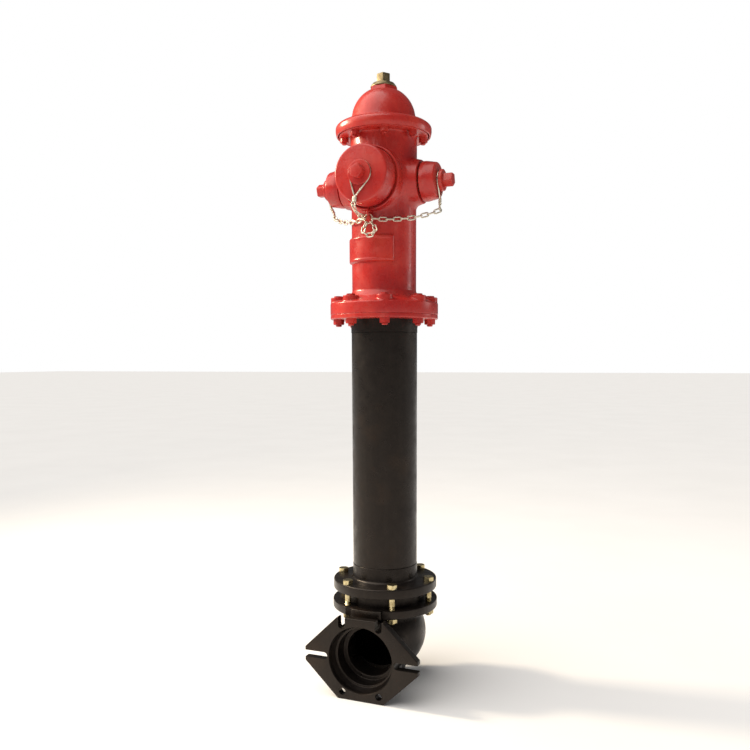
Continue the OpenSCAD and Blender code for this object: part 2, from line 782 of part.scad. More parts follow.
module thrust_washer() {
  color(bronze) ring(hold_thread_r - free_gap, nut_tube_r + free_gap, nut_collar_z - washer_t,
    washer_t - fixed_gap);
}

module operating_nut() {
  bore = stem_r + running_gap;
  bore_top = nut_collar_z + nut_collar_t - nut_bore_cap;
  color(bronze) union() {
    rotate_extrude() polygon([
      [bore, nut_tube_z], [nut_tube_r, nut_tube_z], [nut_tube_r, nut_collar_z], [collar_r, nut_collar_z],
      [collar_r, nut_collar_z + nut_collar_t], [nut_neck_r, nut_collar_z + nut_collar_t],
      [nut_neck_r, hold_top_z + free_gap], [0, hold_top_z + free_gap], [0, bore_top], [bore, bore_top]
    ]);
    wrench_nut(hold_top_z + free_gap, top_nut_h - free_gap);
  }
}

module seal_plate() {
  low = bonnet_z - seal_plate_drop;
  hub_z = low - seal_plate_hub_h;
  color(bronze) difference() {
    union() {
      rim(seal_plate_r, low, seal_plate_t, 0, flange_chamfer / 4);
      rim(seal_plate_hub_r, hub_z, seal_plate_hub_h, flange_chamfer / 2, 0);
    }
    translate([0, 0, hub_z - cut])
      cylinder(r = stem_r + running_gap, h = seal_plate_hub_h + seal_plate_t + 2 * cut);
    for (i = [0:1]) stem_seal_space(i, 0);
  }
}

module stem_seal_space(i, gap) {
  z = bonnet_z - seal_plate_drop - seal_plate_hub_h + (2 * i + 1) * seal_groove_h;
  inner = gap > 0 ? stem_r + free_gap : stem_r - cut;
  ring(stem_r + seal_groove_h - gap, inner, z + gap, seal_groove_h - 2 * gap);
}

module stem_seals() {
  color(rubber) for (i = [0:1]) stem_seal_space(i, fixed_gap);
}

// Stem train, in the shut position

tip_z = valve_bottom_z - plate_t - cap_nut_h + stem_top_gap;
shoulder_z = seat_face_z + drain_valve_h;

module pin_hole(z) {
  translate([-coupling_r - cut, 0, z]) rotate([0, 90, 0])
    cylinder(r = pin_r + fixed_gap, h = 2 * (coupling_r + cut));
}

module upper_stem() {
  low = break_z + stem_joint_gap / 2;
  color(steel) difference() {
    rim(stem_r, low, nut_collar_z + nut_collar_t - nut_bore_cap - stem_top_gap - low, stem_joint_gap / 2,
      stem_joint_gap);
    pin_hole(break_z + coupling_l / 4);
  }
}

module lower_stem() {
  h = break_z - stem_joint_gap / 2 - shoulder_z;
  color(steel) difference() {
    union() {
      rim(stem_r, shoulder_z, h, 0, stem_joint_gap / 2);
      translate([0, 0, tip_z]) cylinder(r = stem_tip_r, h = shoulder_z - tip_z);
    }
    pin_hole(break_z - coupling_l / 4);
  }
}

waist_share = 0.8;
module stem_coupling() {
  h = coupling_l / 2;
  color(steel) difference() {
    translate([0, 0, break_z]) rotate_extrude() polygon([
      [stem_r + fixed_gap, -h], [coupling_r - flange_chamfer / 2, -h], [coupling_r, flange_chamfer / 2 - h],
      [coupling_r, -flange_chamfer], [coupling_r * waist_share, 0], [coupling_r, flange_chamfer],
      [coupling_r, h - flange_chamfer / 2], [coupling_r - flange_chamfer / 2, h], [stem_r + fixed_gap, h]
    ]);
    for (s = [-1, 1]) pin_hole(break_z + s * coupling_l / 4);
  }
}

module coupling_pins() {
  l = 2 * coupling_r + flange_chamfer;
  color(bronze) for (s = [-1, 1])
    translate([-l / 2, 0, break_z + s * coupling_l / 4]) rotate([0, 90, 0]) cylinder(r = pin_r, h = l);
}

module drain_valve() {
  color(bronze) difference() {
    union() {
      rim(drain_valve_r, seat_face_z, drain_plate_t, 0, flange_chamfer / 2);
      rim(drain_hub_r, seat_face_z, drain_valve_h, 0, flange_chamfer / 2);
      intersection() {
        translate([0, 0, seat_face_z]) cylinder(r = drain_valve_r, h = drain_valve_h);
        translate([-drain_valve_r, -facing_w / 2, seat_face_z])
          cube([2 * drain_valve_r, facing_w, drain_valve_h]);
      }
    }
    translate([0, 0, seat_face_z - cut]) cylinder(r = stem_tip_r + fixed_gap, h = drain_valve_h + 2 * cut);
  }
}

module drain_facings() {
  z = seat_face_z + drain_valve_h - facing_h;
  color(rubber) difference() {
    intersection() {
      ring(seat_bore_r - free_gap, drain_valve_r + fixed_gap, z, facing_h - flange_chamfer);
      translate([-seat_bore_r, -facing_w / 2, z]) cube([2 * seat_bore_r, facing_w, facing_h]);
    }
    translate([-seat_bore_r - cut, 0, shoe_top_z + drain_ring_h / 2]) rotate([0, 90, 0])
      cylinder(r = drain_port_r, h = 2 * (seat_bore_r + cut));
  }
}

module main_valve() {
  edge = flange_chamfer + cut;
  color(rubber) translate([0, 0, valve_bottom_z]) rotate_extrude() polygon([
    [stem_tip_r + fixed_gap, 0], [valve_r - edge, 0], [valve_r, edge], [valve_r, valve_t - edge],
    [valve_r - edge / 2, valve_t - fixed_gap], [stem_tip_r + fixed_gap, valve_t - fixed_gap]
  ]);
}

module lower_valve_plate() {
  low = valve_bottom_z - plate_t;
  color(black) difference() {
    rim(plate_r, low, plate_t - fixed_gap, plate_t / 2, 0);
    translate([0, 0, low - cut]) cylinder(r = stem_tip_r + fixed_gap, h = plate_t + 2 * cut);
  }
}

module stem_cap_nut() {
  low = valve_bottom_z - plate_t - cap_nut_h;
  color(bronze) difference() {
    translate([0, 0, low + cap_nut_h - fixed_gap]) mirror([0, 0, 1])
      hex_head(cap_nut_r, cap_nut_h - fixed_gap, 0);
    translate([0, 0, tip_z - fixed_gap]) cylinder(r = stem_tip_r + fixed_gap, h = cap_nut_h);
  }
}

// Outlets and caps

cap_wall = 12;
cap_gasket_t = 5;
groove_w = 7;
pumper_hub_r = 35;
pumper_hub_t = 4;
pumper_groove_r = 30;
pumper_face_r = 76;
hose_hub_r = 31;
hose_hub_t = 10;
hose_groove_r = 22;
hose_face_r = 47;
cap_edge = 5;
nozzle_edge = 1.5;

function boss_reach(side) = side == 0 ? pumper_boss_reach : hose_boss_reach;
function thread_r(side) = side == 0 ? pumper_thread_r : hose_thread_r;
function bore_r(side) = side == 0 ? pumper_bore_r : hose_bore_r;
function shank_r(side) = side == 0 ? pumper_shank_r : hose_shank_r;
function cap_reach(side) = side == 0 ? pumper_cap_reach : hose_cap_reach;
function nozzle_end(side) = cap_reach(side) - cap_wall - cap_gasket_t;
function groove_r(side) = side == 0 ? pumper_groove_r : hose_groove_r;

module nozzle(side) {
  s = barrel_bore_r - flange_chamfer / 2;
  b = boss_reach(side);
  e = nozzle_end(side);
  color(bronze) at_outlet(side) difference() {
    rotate_extrude() polygon([
      [bore_r(side) + nozzle_edge, s], [shank_r(side), s], [shank_r(side), b],
      [thread_r(side) - nozzle_edge, b],
      [thread_r(side), b + nozzle_edge], [thread_r(side), e - nozzle_edge], [thread_r(side) - nozzle_edge, e],
      [bore_r(side), e], [bore_r(side), s + nozzle_edge]
    ]);
    ring(shank_r(side) + cut, shank_r(side) - seal_w, b - 2 * seal_w, seal_w);
  }
}

module nozzle_seal(side) {
  color(rubber) at_outlet(side)
    ring(shank_r(side) - fixed_gap, shank_r(side) - seal_w + fixed_gap,
      boss_reach(side) - 2 * seal_w + fixed_gap, seal_w - 2 * fixed_gap);
}

module cap(side) {
  r = side == 0 ? pumper_cap_r : hose_cap_r;
  face = side == 0 ? pumper_face_r : hose_face_r;
  hub = side == 0 ? pumper_hub_r : hose_hub_r;
  hub_t = side == 0 ? pumper_hub_t : hose_hub_t;
  skirt = boss_reach(side) + cap_seam;
  reach = cap_reach(side);
  top = reach + groove_w + hub_t;
  in_r = thread_r(side) + running_gap;
  color(red) at_outlet(side) {
    rotate_extrude() polygon(concat(
      [[in_r, skirt], [r - nozzle_edge, skirt], [r, skirt + nozzle_edge], [r, skirt + cap_wall],
       [face + cap_edge, reach - cap_edge]],
      [for (i = [1:3]) [face + cap_edge * cos(30 * i), reach - cap_edge + cap_edge * sin(30 * i)]],
      [[groove_r(side), reach], [groove_r(side), reach + groove_w], [hub - nozzle_edge, reach + groove_w],
       [hub, reach + groove_w + nozzle_edge], [hub, top - nozzle_edge], [hub - 2 * nozzle_edge, top],
       [0, top], [0, reach - cap_wall], [in_r, reach - cap_wall]]
    ));
    wrench_nut(top, side == 0 ? pumper_nut_l : hose_nut_l);
  }
}

module cap_gasket(side) {
  color(rubber) at_outlet(side)
    ring(thread_r(side) - nozzle_edge, bore_r(side) + nozzle_edge, nozzle_end(side) + free_gap,
      cap_gasket_t - free_gap - fixed_gap);
}

module pumper_nozzle() { nozzle(0); }
module hose_nozzle_right() { nozzle(1); }
module hose_nozzle_left() { nozzle(2); }
module pumper_nozzle_seal() { nozzle_seal(0); }
module hose_nozzle_seal_right() { nozzle_seal(1); }
module hose_nozzle_seal_left() { nozzle_seal(2); }
module pumper_cap() { cap(0); }
module hose_cap_right() { cap(1); }
module hose_cap_left() { cap(2); }
module pumper_cap_gasket() { cap_gasket(0); }
module hose_cap_gasket_right() { cap_gasket(1); }
module hose_cap_gasket_left() { cap_gasket(2); }

// Chain rings: a wire loop in the cap's groove, drawn together below into a twisted shank with an eye

loop_wire_r = 2;
loop_play = 1.6;
pumper_loop_drop = 68;
hose_loop_drop = 54;
shank_share = 1.3;
knot_share = 1.45;
weld_share = 0.98;
weld = 0.3;
eye_r = 6;
pumper_eye_drop = 87;
hose_eye_drop = 80;
pumper_ring_turn = -13;
left_ring_lean = 12;

function loop_drop(side) = side == 0 ? pumper_loop_drop : hose_loop_drop;
function eye_drop(side) = side == 0 ? pumper_eye_drop : hose_eye_drop;
function ring_turn(side) = side == 0 ? pumper_ring_turn : 0;
function ring_lean(side) = side == 2 ? left_ring_lean : 0;
function loop_r(side) = groove_r(side) + loop_wire_r + loop_play;
function ring_reach(side) = cap_reach(side) + groove_w / 2;

module rod(a, b, r) {
  d = b - a;
  l = norm(d);
  translate(a) rotate([0, acos(d[2] / l), atan2(d[1], d[0])]) cylinder(r = r, h = l);
}

module chain_ring(side) {
  r = loop_r(side);
  low = -loop_play + free_gap;
  half = acos(r / (loop_drop(side) + low));
  join = [0, -loop_drop(side), 0];
  eye = [0, -eye_drop(side), -ring_lean(side)];
  color(steel) at_outlet_up(side) translate([0, 0, ring_reach(side)]) rotate([0, 0, ring_turn(side)]) {
    translate([0, low, 0]) rotate([0, 0, -90 + half]) rotate_extrude(angle = 360 - 2 * half)
      translate([r, 0]) circle(r = loop_wire_r);
    for (s = [-1, 1]) let (a = [s * r * sin(half), low - r * cos(half), 0], d = (join - a) / norm(join - a))
      rod(a - weld * d, join, loop_wire_r * weld_share);
    translate(join) sphere(r = loop_wire_r * knot_share);
    rod(join, eye + [0, eye_r, 0], loop_wire_r * shank_share);
    translate(eye) rotate_extrude() translate([eye_r, 0]) circle(r = loop_wire_r);
  }
}

module pumper_chain_ring() { chain_ring(0); }
module hose_chain_ring_right() { chain_ring(1); }
module hose_chain_ring_left() { chain_ring(2); }

// Chains

anchor_r = 13;
anchor_wire_r = 2;
anchor_play = 0.8;
side_hook = 3.6;
end_hook = 2.2;
side_play = 0.4;
pumper_play = 1;
pumper_twist = 45;
side_sag = 12;
side_bulge = 5;
pumper_sag = 13;
slack_start = 310;
slack_end = 240;
slack_sway = 6;
slack_swing = 16;
slack_depth = 38;
slack_forward = 10;
slack_ease = 1.1;
slack_gap = 0.25;
route_steps = 40;

anchor_z = outlet_z - lug_drop - lug_hole_r + anchor_wire_r + anchor_play - anchor_r;
link_bend_r = link_w / 2 + wire_r;

// Where the wire of a chain ring's eye, or of the anchor ring, holds its chain
function eye_point(side) =
  let (y = -eye_drop(side) - eye_r, t = ring_turn(side), p = [-y * sin(t), y * cos(t)],
    reach = ring_reach(side) - ring_lean(side))
  side == 0 ? [p[0], -reach, outlet_z + p[1]] : [side == 1 ? reach : -reach, 0, outlet_z + p[1]];
function anchor_point(a) = [anchor_r * cos(a), -lug_y, anchor_z + anchor_r * sin(a)];

// A hanging route from a to b, pushed outwards from the barrel
function hang(a, b, t, sag, bulge) =
  let (m = a + (b - a) * t, out = [m[0], m[1], 0] / norm([m[0], m[1]]), w = 4 * t * (1 - t))
  m + w * (bulge * out - [0, 0, sag]);
function slack_at(t) =
  let (a = anchor_point(slack_start), b = anchor_point(slack_end),
    side = slack_sway * sin(180 * t) + slack_swing * sin(360 * t))
  a + (b - a) * t + [side, -slack_forward * sin(180 * t), -slack_depth * sin(180 * t)];

function route_point(kind, t) =
  kind == 0 ? hang(eye_point(0), anchor_point(135), t, pumper_sag, 0) :
  kind == 1 ? hang(eye_point(1), anchor_point(0), t, side_sag, side_bulge) :
  kind == 2 ? hang(eye_point(2), anchor_point(180), t, side_sag, side_bulge) : slack_at(t);

function sums(v, i = 0, total = 0) = i >= len(v) ? [total] : concat([total], sums(v, i + 1, total + v[i]));

// Each step of a route with the distance run so far
function route_table(kind) =
  let (pts = [for (i = [0:route_steps]) route_point(kind, i / route_steps)],
    runs = sums([for (i = [1:route_steps]) norm(pts[i] - pts[i - 1])]))
  [for (i = [0:route_steps]) [runs[i], i / route_steps]];

// The point at a distance along a route, which goes straight on past its ends
function along(kind, table, s) =
  let (total = table[route_steps][0], past = s < 0 ? s : s > total ? s - total : 0,
    k = s < 0 ? 1 : route_steps,
    q = route_point(kind, k / route_steps) - route_point(kind, (k - 1) / route_steps))
  route_point(kind, lookup(s, table)) + q / norm(q) * past;

// One closed link with its long axis along X, lying in the XY plane
module link(l) {
  s = (l - link_w) / 2;
  for (k = [-1, 1]) {
    translate([k * s, 0, 0]) rotate([0, 0, -90 * k]) rotate_extrude(angle = 180)
      translate([link_bend_r, 0]) circle(r = wire_r);
    translate([-s - weld, k * link_bend_r, 0]) rotate([0, 90, 0])
      cylinder(r = wire_r * weld_share, h = 2 * (s + weld));
  }
}

// One link over a stretch of a route, its flat side rolled from the hint about its own length
module place_link(kind, table, from, reach, play, hint, roll) {
  a = along(kind, table, from);
  b = along(kind, table, from + reach);
  c = (a + b) / 2;
  d = (b - a) / norm(b - a);
  flat = hint - (hint * d) * d;
  w = flat / norm(flat);
  y = w * cos(roll) + cross(d, w) * sin(roll);
  z = cross(d, y);
  multmatrix([[d[0], y[0], z[0], c[0]], [d[1], y[1], z[1], c[1]], [d[2], y[2], z[2], c[2]], [0, 0, 0, 1]])
    link(norm(b - a) + play);
}

// Links of one length, each a quarter turn on from the last
module chain(kind, count, hook, play, twist) {
  table = route_table(kind);
  pitch = (table[route_steps][0] + hook + end_hook) / count;
  for (i = [0:count - 1])
    place_link(kind, table, i * pitch - hook, pitch, play, [0, 0, 1], 90 * i + twist * i / (count - 1));
}

// A loop from the anchor ring back to it: long links across its plane, short ones in it
module slack_chain(count) {
  table = route_table(3);
  long = 2 * wire_r;
  short = link_w - 2 * slack_ease;
  hook = anchor_wire_r + wire_r + slack_gap;
  l = (table[route_steps][0] + 2 * hook - ceil(count / 2) * long + floor(count / 2) * short) / count;
  for (i = [0:count - 1]) {
    from = l * i + ceil(i / 2) * long - floor(i / 2) * short - hook;
    grow = i % 2 == 0 ? long : -short;
    place_link(3, table, from, l + grow, -grow, [0, 1, 0], 90 * i);
  }
}

module chain_anchor() {
  color(steel) translate([0, -lug_y, anchor_z]) rotate([90, 0, 0])
    rotate_extrude() translate([anchor_r, 0]) circle(r = anchor_wire_r);
}

module chain_pumper() { color(steel) chain(0, pumper_links, end_hook, pumper_play, pumper_twist); }
module chain_right() { color(steel) chain(1, side_links, side_hook, side_play, 0); }
module chain_left() { color(steel) chain(2, side_links, side_hook, side_play, 0); }
module chain_slack() { color(steel) slack_chain(slack_links); }

shoe();
drain_ring();
seat_ring();
drain_ring_seal_upper();
drain_ring_seal_lower();
standpipe_flange();
standpipe();
standpipe_collar();
break_ring();
barrel_gasket();
shoe_bolts();
shoe_nuts();
break_bolts();
break_nuts();
upper_barrel();
seal_plate();
bonnet_gasket();
bonnet();
bonnet_bolts();
bonnet_nuts();
hold_down_nut();
weather_seal();
thrust_washer();
stem_seals();
operating_nut();
upper_stem();
stem_coupling();
coupling_pins();
lower_stem();
drain_valve();
drain_facings();
main_valve();
lower_valve_plate();
stem_cap_nut();
pumper_nozzle();
pumper_nozzle_seal();
pumper_cap();
pumper_cap_gasket();
pumper_chain_ring();
hose_nozzle_right();
hose_nozzle_seal_right();
hose_cap_right();
hose_cap_gasket_right();
hose_chain_ring_right();
hose_nozzle_left();
hose_nozzle_seal_left();
hose_cap_left();
hose_cap_gasket_left();
hose_chain_ring_left();
nozzle_screws();
chain_anchor();
chain_pumper();
chain_right();
chain_left();
chain_slack();
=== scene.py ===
# %% [markdown]
# # A dry barrel fire hydrant, dressed for its portrait
# The hydrant's engineering model arrives as a fixed frame: castings, bolts, stems, caps and chains,
# all at their real sizes in metres. This lesson gives it the soft corners of sand castings, the wear of
# enamel and bitumen paint, and the light of a plain studio. The barrel's axis is Z, the foot stands on
# zero, and the pumper outlet looks along -Y.

# %% Load the frame
import math

import bpy
import numpy as np
from mathutils import Matrix, Vector


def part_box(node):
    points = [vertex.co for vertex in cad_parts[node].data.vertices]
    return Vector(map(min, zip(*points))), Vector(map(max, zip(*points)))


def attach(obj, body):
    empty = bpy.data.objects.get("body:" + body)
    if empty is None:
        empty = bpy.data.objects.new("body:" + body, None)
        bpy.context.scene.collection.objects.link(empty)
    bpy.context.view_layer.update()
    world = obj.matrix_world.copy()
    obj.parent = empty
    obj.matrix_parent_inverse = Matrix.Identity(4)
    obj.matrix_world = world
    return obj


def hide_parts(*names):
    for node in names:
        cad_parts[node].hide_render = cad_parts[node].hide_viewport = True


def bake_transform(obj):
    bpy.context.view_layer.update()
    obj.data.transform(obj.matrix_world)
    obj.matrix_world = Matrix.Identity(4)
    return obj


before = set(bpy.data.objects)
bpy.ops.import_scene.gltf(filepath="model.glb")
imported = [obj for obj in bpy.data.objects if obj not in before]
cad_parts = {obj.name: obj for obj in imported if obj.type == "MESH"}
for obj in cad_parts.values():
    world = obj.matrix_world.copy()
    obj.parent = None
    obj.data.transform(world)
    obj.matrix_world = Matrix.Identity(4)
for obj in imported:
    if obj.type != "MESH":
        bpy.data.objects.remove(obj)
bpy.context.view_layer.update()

# %% [markdown]
# ## The camera
# A long hydrant is photographed from a few paces away, a little to the right of the pumper outlet and at
# about half its height. The camera is placed by its position, the direction that it looks in and a small
# lens shift upwards, which is how a view camera keeps a tall object upright.

# %% Place the camera
picture_px = 750
focal_px = 780
film_mm = 36
eye = Vector((0.9211, -2.2716, 1.0295))
look = Vector((-0.37307, 0.92005, -0.11968))
roll = math.radians(-0.19)
shift = (-0.013, 0.1054)
far_end = 100
bpy.ops.object.select_all(action="DESELECT")
bpy.ops.object.camera_add(location=eye)
camera = bpy.context.object
camera.name = "camera"
turn = look.to_track_quat("-Z", "Y").to_matrix().to_4x4() @ Matrix.Rotation(roll, 4, "Z")
camera.matrix_world = Matrix.Translation(eye) @ turn
camera.data.sensor_width = film_mm
camera.data.lens = film_mm * focal_px / picture_px
camera.data.shift_x, camera.data.shift_y = shift
camera.data.clip_end = far_end
bpy.context.scene.camera = camera
print("lens %.1f mm" % camera.data.lens)

# %% [markdown]
# ## Studio light and floor
# The floor is a plain pale sheet. Most of the light is a very soft daylight from above and the front left.
# A small warm lamp high at the left puts the bright marks on the enamel, and a weak one behind draws a thin
# line along the right edge. The room looks white to the camera but gives the object only a part of that
# light, as a white paper wall far behind it does, so that the hollows stay dark. The Standard view keeps
# the enamel as saturated as the eye sees it.

# %% Floor and lamps
floor_size = 120
floor_gap = 0.0006
sun_tilt, sun_turn, sun_spread = math.radians(33), math.radians(-44), math.radians(75)
sun_strength = 2.9
room_light, room_seen = 0.13, 1.0
bpy.context.scene.view_settings.view_transform = "Standard"
bpy.ops.mesh.primitive_plane_add(size=floor_size, location=(0, 0, -floor_gap))
floor = bpy.context.object
floor.name = "studio_floor"


def soft_lamp(name, place, aim, size, watts, tint):
    """A square lamp at a place, turned towards the point it lights."""
    bpy.ops.object.light_add(type="AREA", location=place)
    lamp = bpy.context.object
    lamp.name = name
    direction = Vector(aim) - Vector(place)
    lamp.matrix_world = Matrix.Translation(place) @ direction.to_track_quat("-Z", "Y").to_matrix().to_4x4()
    lamp.data.size = size
    lamp.data.energy = watts
    lamp.data.color = tint
    return lamp


soft_lamp("key_lamp", (-2.7, -0.35, 2.5), (0, 0, 1.4), 0.42, 100, (1, 0.84, 0.62))
soft_lamp("edge_lamp", (2.4, 1.6, 1.8), (0, 0, 1.1), 0.5, 7, (1, 0.97, 0.94))
bpy.ops.object.light_add(type="SUN", rotation=(sun_tilt, 0, sun_turn))
daylight = bpy.context.object
daylight.name = "daylight"
daylight.data.energy = sun_strength
daylight.data.angle = sun_spread
daylight.data.color = (1, 0.96, 0.91)
room = bpy.context.scene.world or bpy.data.worlds.new("room")
bpy.context.scene.world = room
room.use_nodes = True
sky = room.node_tree
white = sky.nodes["Background"]
white.inputs["Color"].default_value = (1, 1, 1, 1)
seen = sky.nodes.new("ShaderNodeLightPath")
level = sky.nodes.new("ShaderNodeMapRange")
level.inputs["To Min"].default_value = room_light
level.inputs["To Max"].default_value = room_seen
sky.links.new(seen.outputs["Is Camera Ray"], level.inputs["Value"])
sky.links.new(level.outputs["Result"], white.inputs["Strength"])

# %% [markdown]
# ## How a finish is built
# Every finish starts from one shader and a few helpers. Each helper adds one node and returns its output,
# so a material reads like a recipe: a pattern, a ramp that turns the pattern into colours, and a bump that
# lets the light feel it. Patterns read object coordinates, so they hold still in the metal.

# %% Helpers for finishes


def new_finish(name, rough, metal=0.0, coat=0.0):
    """An empty finish with its shader. Plain numbers are set on the shader itself."""
    mat = bpy.data.materials.new(name)
    mat.use_nodes = True
    shader = mat.node_tree.nodes["Principled BSDF"]
    shader.inputs["Roughness"].default_value = rough
    shader.inputs["Metallic"].default_value = metal
    shader.inputs["Coat Weight"].default_value = coat
    shader.inputs["Coat Roughness"].default_value = 0.25
    return mat, mat.node_tree, shader


def place_coords(tree, stretch=(1, 1, 1)):
    """Object coordinates, stretched where a pattern runs along one direction."""
    coords = tree.nodes.new("ShaderNodeTexCoord")
    mapping = tree.nodes.new("ShaderNodeMapping")
    mapping.inputs["Scale"].default_value = stretch
    tree.links.new(coords.outputs["Object"], mapping.inputs["Vector"])
    return mapping.outputs["Vector"]


def clouds(tree, where, scale, detail=4.0, rough=0.55):
    """Soft cloudy noise, the base of most paint variation."""
    node = tree.nodes.new("ShaderNodeTexNoise")
    node.inputs["Scale"].default_value = scale
    node.inputs["Detail"].default_value = detail
    node.inputs["Roughness"].default_value = rough
    tree.links.new(where, node.inputs["Vector"])
    return node.outputs["Fac"]


def pits(tree, where, scale):
    """Small round cells, for the pits of a sand casting."""
    node = tree.nodes.new("ShaderNodeTexVoronoi")
    node.inputs["Scale"].default_value = scale
    tree.links.new(where, node.inputs["Vector"])
    return node.outputs["Distance"]


def ramp(tree, value, stops):
    """Turns a value into colours. Each stop is a place from 0 to 1 and a colour or grey."""
    node = tree.nodes.new("ShaderNodeValToRGB")
    band = node.color_ramp
    while len(band.elements) < len(stops):
        band.elements.new(0.5)
    for element, (place, colour) in zip(band.elements, stops):
        element.position = place
        if not isinstance(colour, tuple):
            colour = (colour, colour, colour)
        element.color = (*colour, 1)
    tree.links.new(value, node.inputs["Fac"])
    return node.outputs["Color"]


def blend(tree, share, under, over):
    """Lays one colour over another by a share, which is a number or another pattern."""
    node = tree.nodes.new("ShaderNodeMix")
    node.data_type = "RGBA"
    for socket, value in ((0, share), (6, under), (7, over)):
        if isinstance(value, bpy.types.NodeSocket):
            tree.links.new(value, node.inputs[socket])
        else:
            node.inputs[socket].default_value = (*value, 1) if isinstance(value, tuple) else value
    return node.outputs[2]


def relief(tree, height, strength, depth, under=None):
    """Bump from a height pattern; depth is in metres."""
    node = tree.nodes.new("ShaderNodeBump")
    node.inputs["Strength"].default_value = strength
    node.inputs["Distance"].default_value = depth
    tree.links.new(height, node.inputs["Height"])
    if under is not None:
        tree.links.new(under, node.inputs["Normal"])
    return node.outputs["Normal"]


def connect(tree, shader, colour, rough, normal):
    """Feeds a finish's patterns into its shader."""
    for name, value in (("Base Color", colour), ("Roughness", rough), ("Normal", normal)):
        tree.links.new(value, shader.inputs[name])


# %% [markdown]
# ## Red enamel on cast iron
# The upper half is brushed and sprayed with red enamel over a sand casting. The colour drifts a little from
# orange red to a deeper red, dust lies in soft patches, and the coat is slightly uneven, so highlights
# break up. The grain of the sand mould still shows through the paint as a fine bump.

# %% Red enamel
enamel_red = (0.52, 0.026, 0.020)
enamel_deep = (0.38, 0.014, 0.015)
enamel_light = (0.62, 0.052, 0.034)


def red_enamel_finish(name, rough=0.27):
    """Brushed enamel whose red drifts, with streaks, specks, dust and the grain of the casting."""
    mat, tree, shader = new_finish(name, rough, coat=0.12)
    shader.inputs["Specular IOR Level"].default_value = 0.42
    here = place_coords(tree)
    drift = clouds(tree, here, 9, 5)
    colour = ramp(tree, drift, [(0.30, enamel_deep), (0.50, enamel_red), (0.72, enamel_light)])
    streaks = clouds(tree, place_coords(tree, (1, 1, 0.12)), 34, 6)
    colour = blend(tree, ramp(tree, streaks, [(0.52, 0.0), (0.80, 0.35)]), colour, enamel_deep)
    specks = clouds(tree, here, 210, 3)
    colour = blend(tree, ramp(tree, specks, [(0.66, 0.0), (0.76, 0.30)]), colour, (0.22, 0.02, 0.018))
    dust = ramp(tree, clouds(tree, here, 23, 7, 0.65), [(0.55, 0.0), (0.85, 0.16)])
    colour = blend(tree, dust, colour, (0.66, 0.33, 0.26))
    dull = ramp(tree, clouds(tree, here, 31, 6), [(0.30, rough - 0.07), (0.75, rough + 0.15)])
    grain = relief(tree, clouds(tree, here, 420, 5), 0.35, 0.0006)
    cast = relief(tree, pits(tree, here, 150), 0.16, 0.0008, grain)
    waves = relief(tree, clouds(tree, here, 26, 2), 0.35, 0.0016, cast)
    connect(tree, shader, colour, dull, waves)
    return mat


red_enamel = red_enamel_finish("red_enamel")
red_fittings = red_enamel_finish("red_enamel_on_steel", 0.32)

# %% [markdown]
# ## Bitumen black
# Below the ground line everything is dipped in black bitumen paint. It is nearly black, with brown where
# the coat is thin, dry dusty patches and runs that follow the pipe downwards.

# %% Bitumen black


def bitumen_finish(name, rough=0.30):
    """Nearly black paint with thin brown places, runs and dust."""
    mat, tree, shader = new_finish(name, rough)
    shader.inputs["Specular IOR Level"].default_value = 0.32
    shader.inputs["Specular Tint"].default_value = (1, 0.86, 0.76, 1)
    here = place_coords(tree)
    browns = [(0.30, (0.005, 0.004, 0.004)), (0.55, (0.009, 0.007, 0.006)), (0.78, (0.022, 0.013, 0.008))]
    colour = ramp(tree, clouds(tree, here, 8, 6), browns)
    runs = clouds(tree, place_coords(tree, (1, 1, 0.06)), 42, 5)
    colour = blend(tree, ramp(tree, runs, [(0.50, 0.0), (0.80, 0.50)]), colour, (0.017, 0.014, 0.012))
    dust = ramp(tree, clouds(tree, here, 60, 8, 0.7), [(0.58, 0.0), (0.85, 0.30)])
    colour = blend(tree, dust, colour, (0.050, 0.038, 0.028))
    dull = ramp(tree, clouds(tree, here, 27, 6), [(0.28, rough - 0.08), (0.78, rough + 0.22)])
    grain = relief(tree, clouds(tree, here, 380, 5), 0.40, 0.0007)
    lumps = relief(tree, clouds(tree, here, 30, 3), 0.45, 0.0018, grain)
    connect(tree, shader, colour, dull, lumps)
    return mat


bitumen = bitumen_finish("bitumen_black")

# %% [markdown]
# ## Bronze, plated steel, chain and stem steel
# The nuts on top are dull cast bronze with a brown skin in their low places. The lower bolts are plated and
# pale gold. The chain is bright steel gone straw coloured. Stems are turned steel, with rings left by the
# lathe, and the seals are black rubber with a fine bloom.

# %% Metals and rubber


def metal_finish(name, light, dark, spot, rough, scale, ring_scale=0.0):
    """Bare metal between two colours, with stains and, where it is turned, the fine rings of a lathe."""
    mat, tree, shader = new_finish(name, rough, metal=1.0)
    here = place_coords(tree)
    colour = ramp(tree, clouds(tree, here, scale, 6), [(0.32, dark), (0.62, light)])
    stains = ramp(tree, clouds(tree, here, scale * 3.1, 8, 0.7), [(0.55, 0.0), (0.78, 0.75)])
    colour = blend(tree, stains, colour, spot)
    dull = ramp(tree, clouds(tree, here, scale * 2.3, 6), [(0.30, rough - 0.10), (0.75, rough + 0.18)])
    normal = relief(tree, clouds(tree, here, 500, 4), 0.30, 0.0004)
    if ring_scale:
        rings = tree.nodes.new("ShaderNodeTexWave")
        rings.bands_direction = "Z"
        rings.inputs["Scale"].default_value = ring_scale
        rings.inputs["Distortion"].default_value = 0.4
        tree.links.new(here, rings.inputs["Vector"])
        normal = relief(tree, rings.outputs["Fac"], 0.25, 0.0003, normal)
    connect(tree, shader, colour, dull, normal)
    return mat


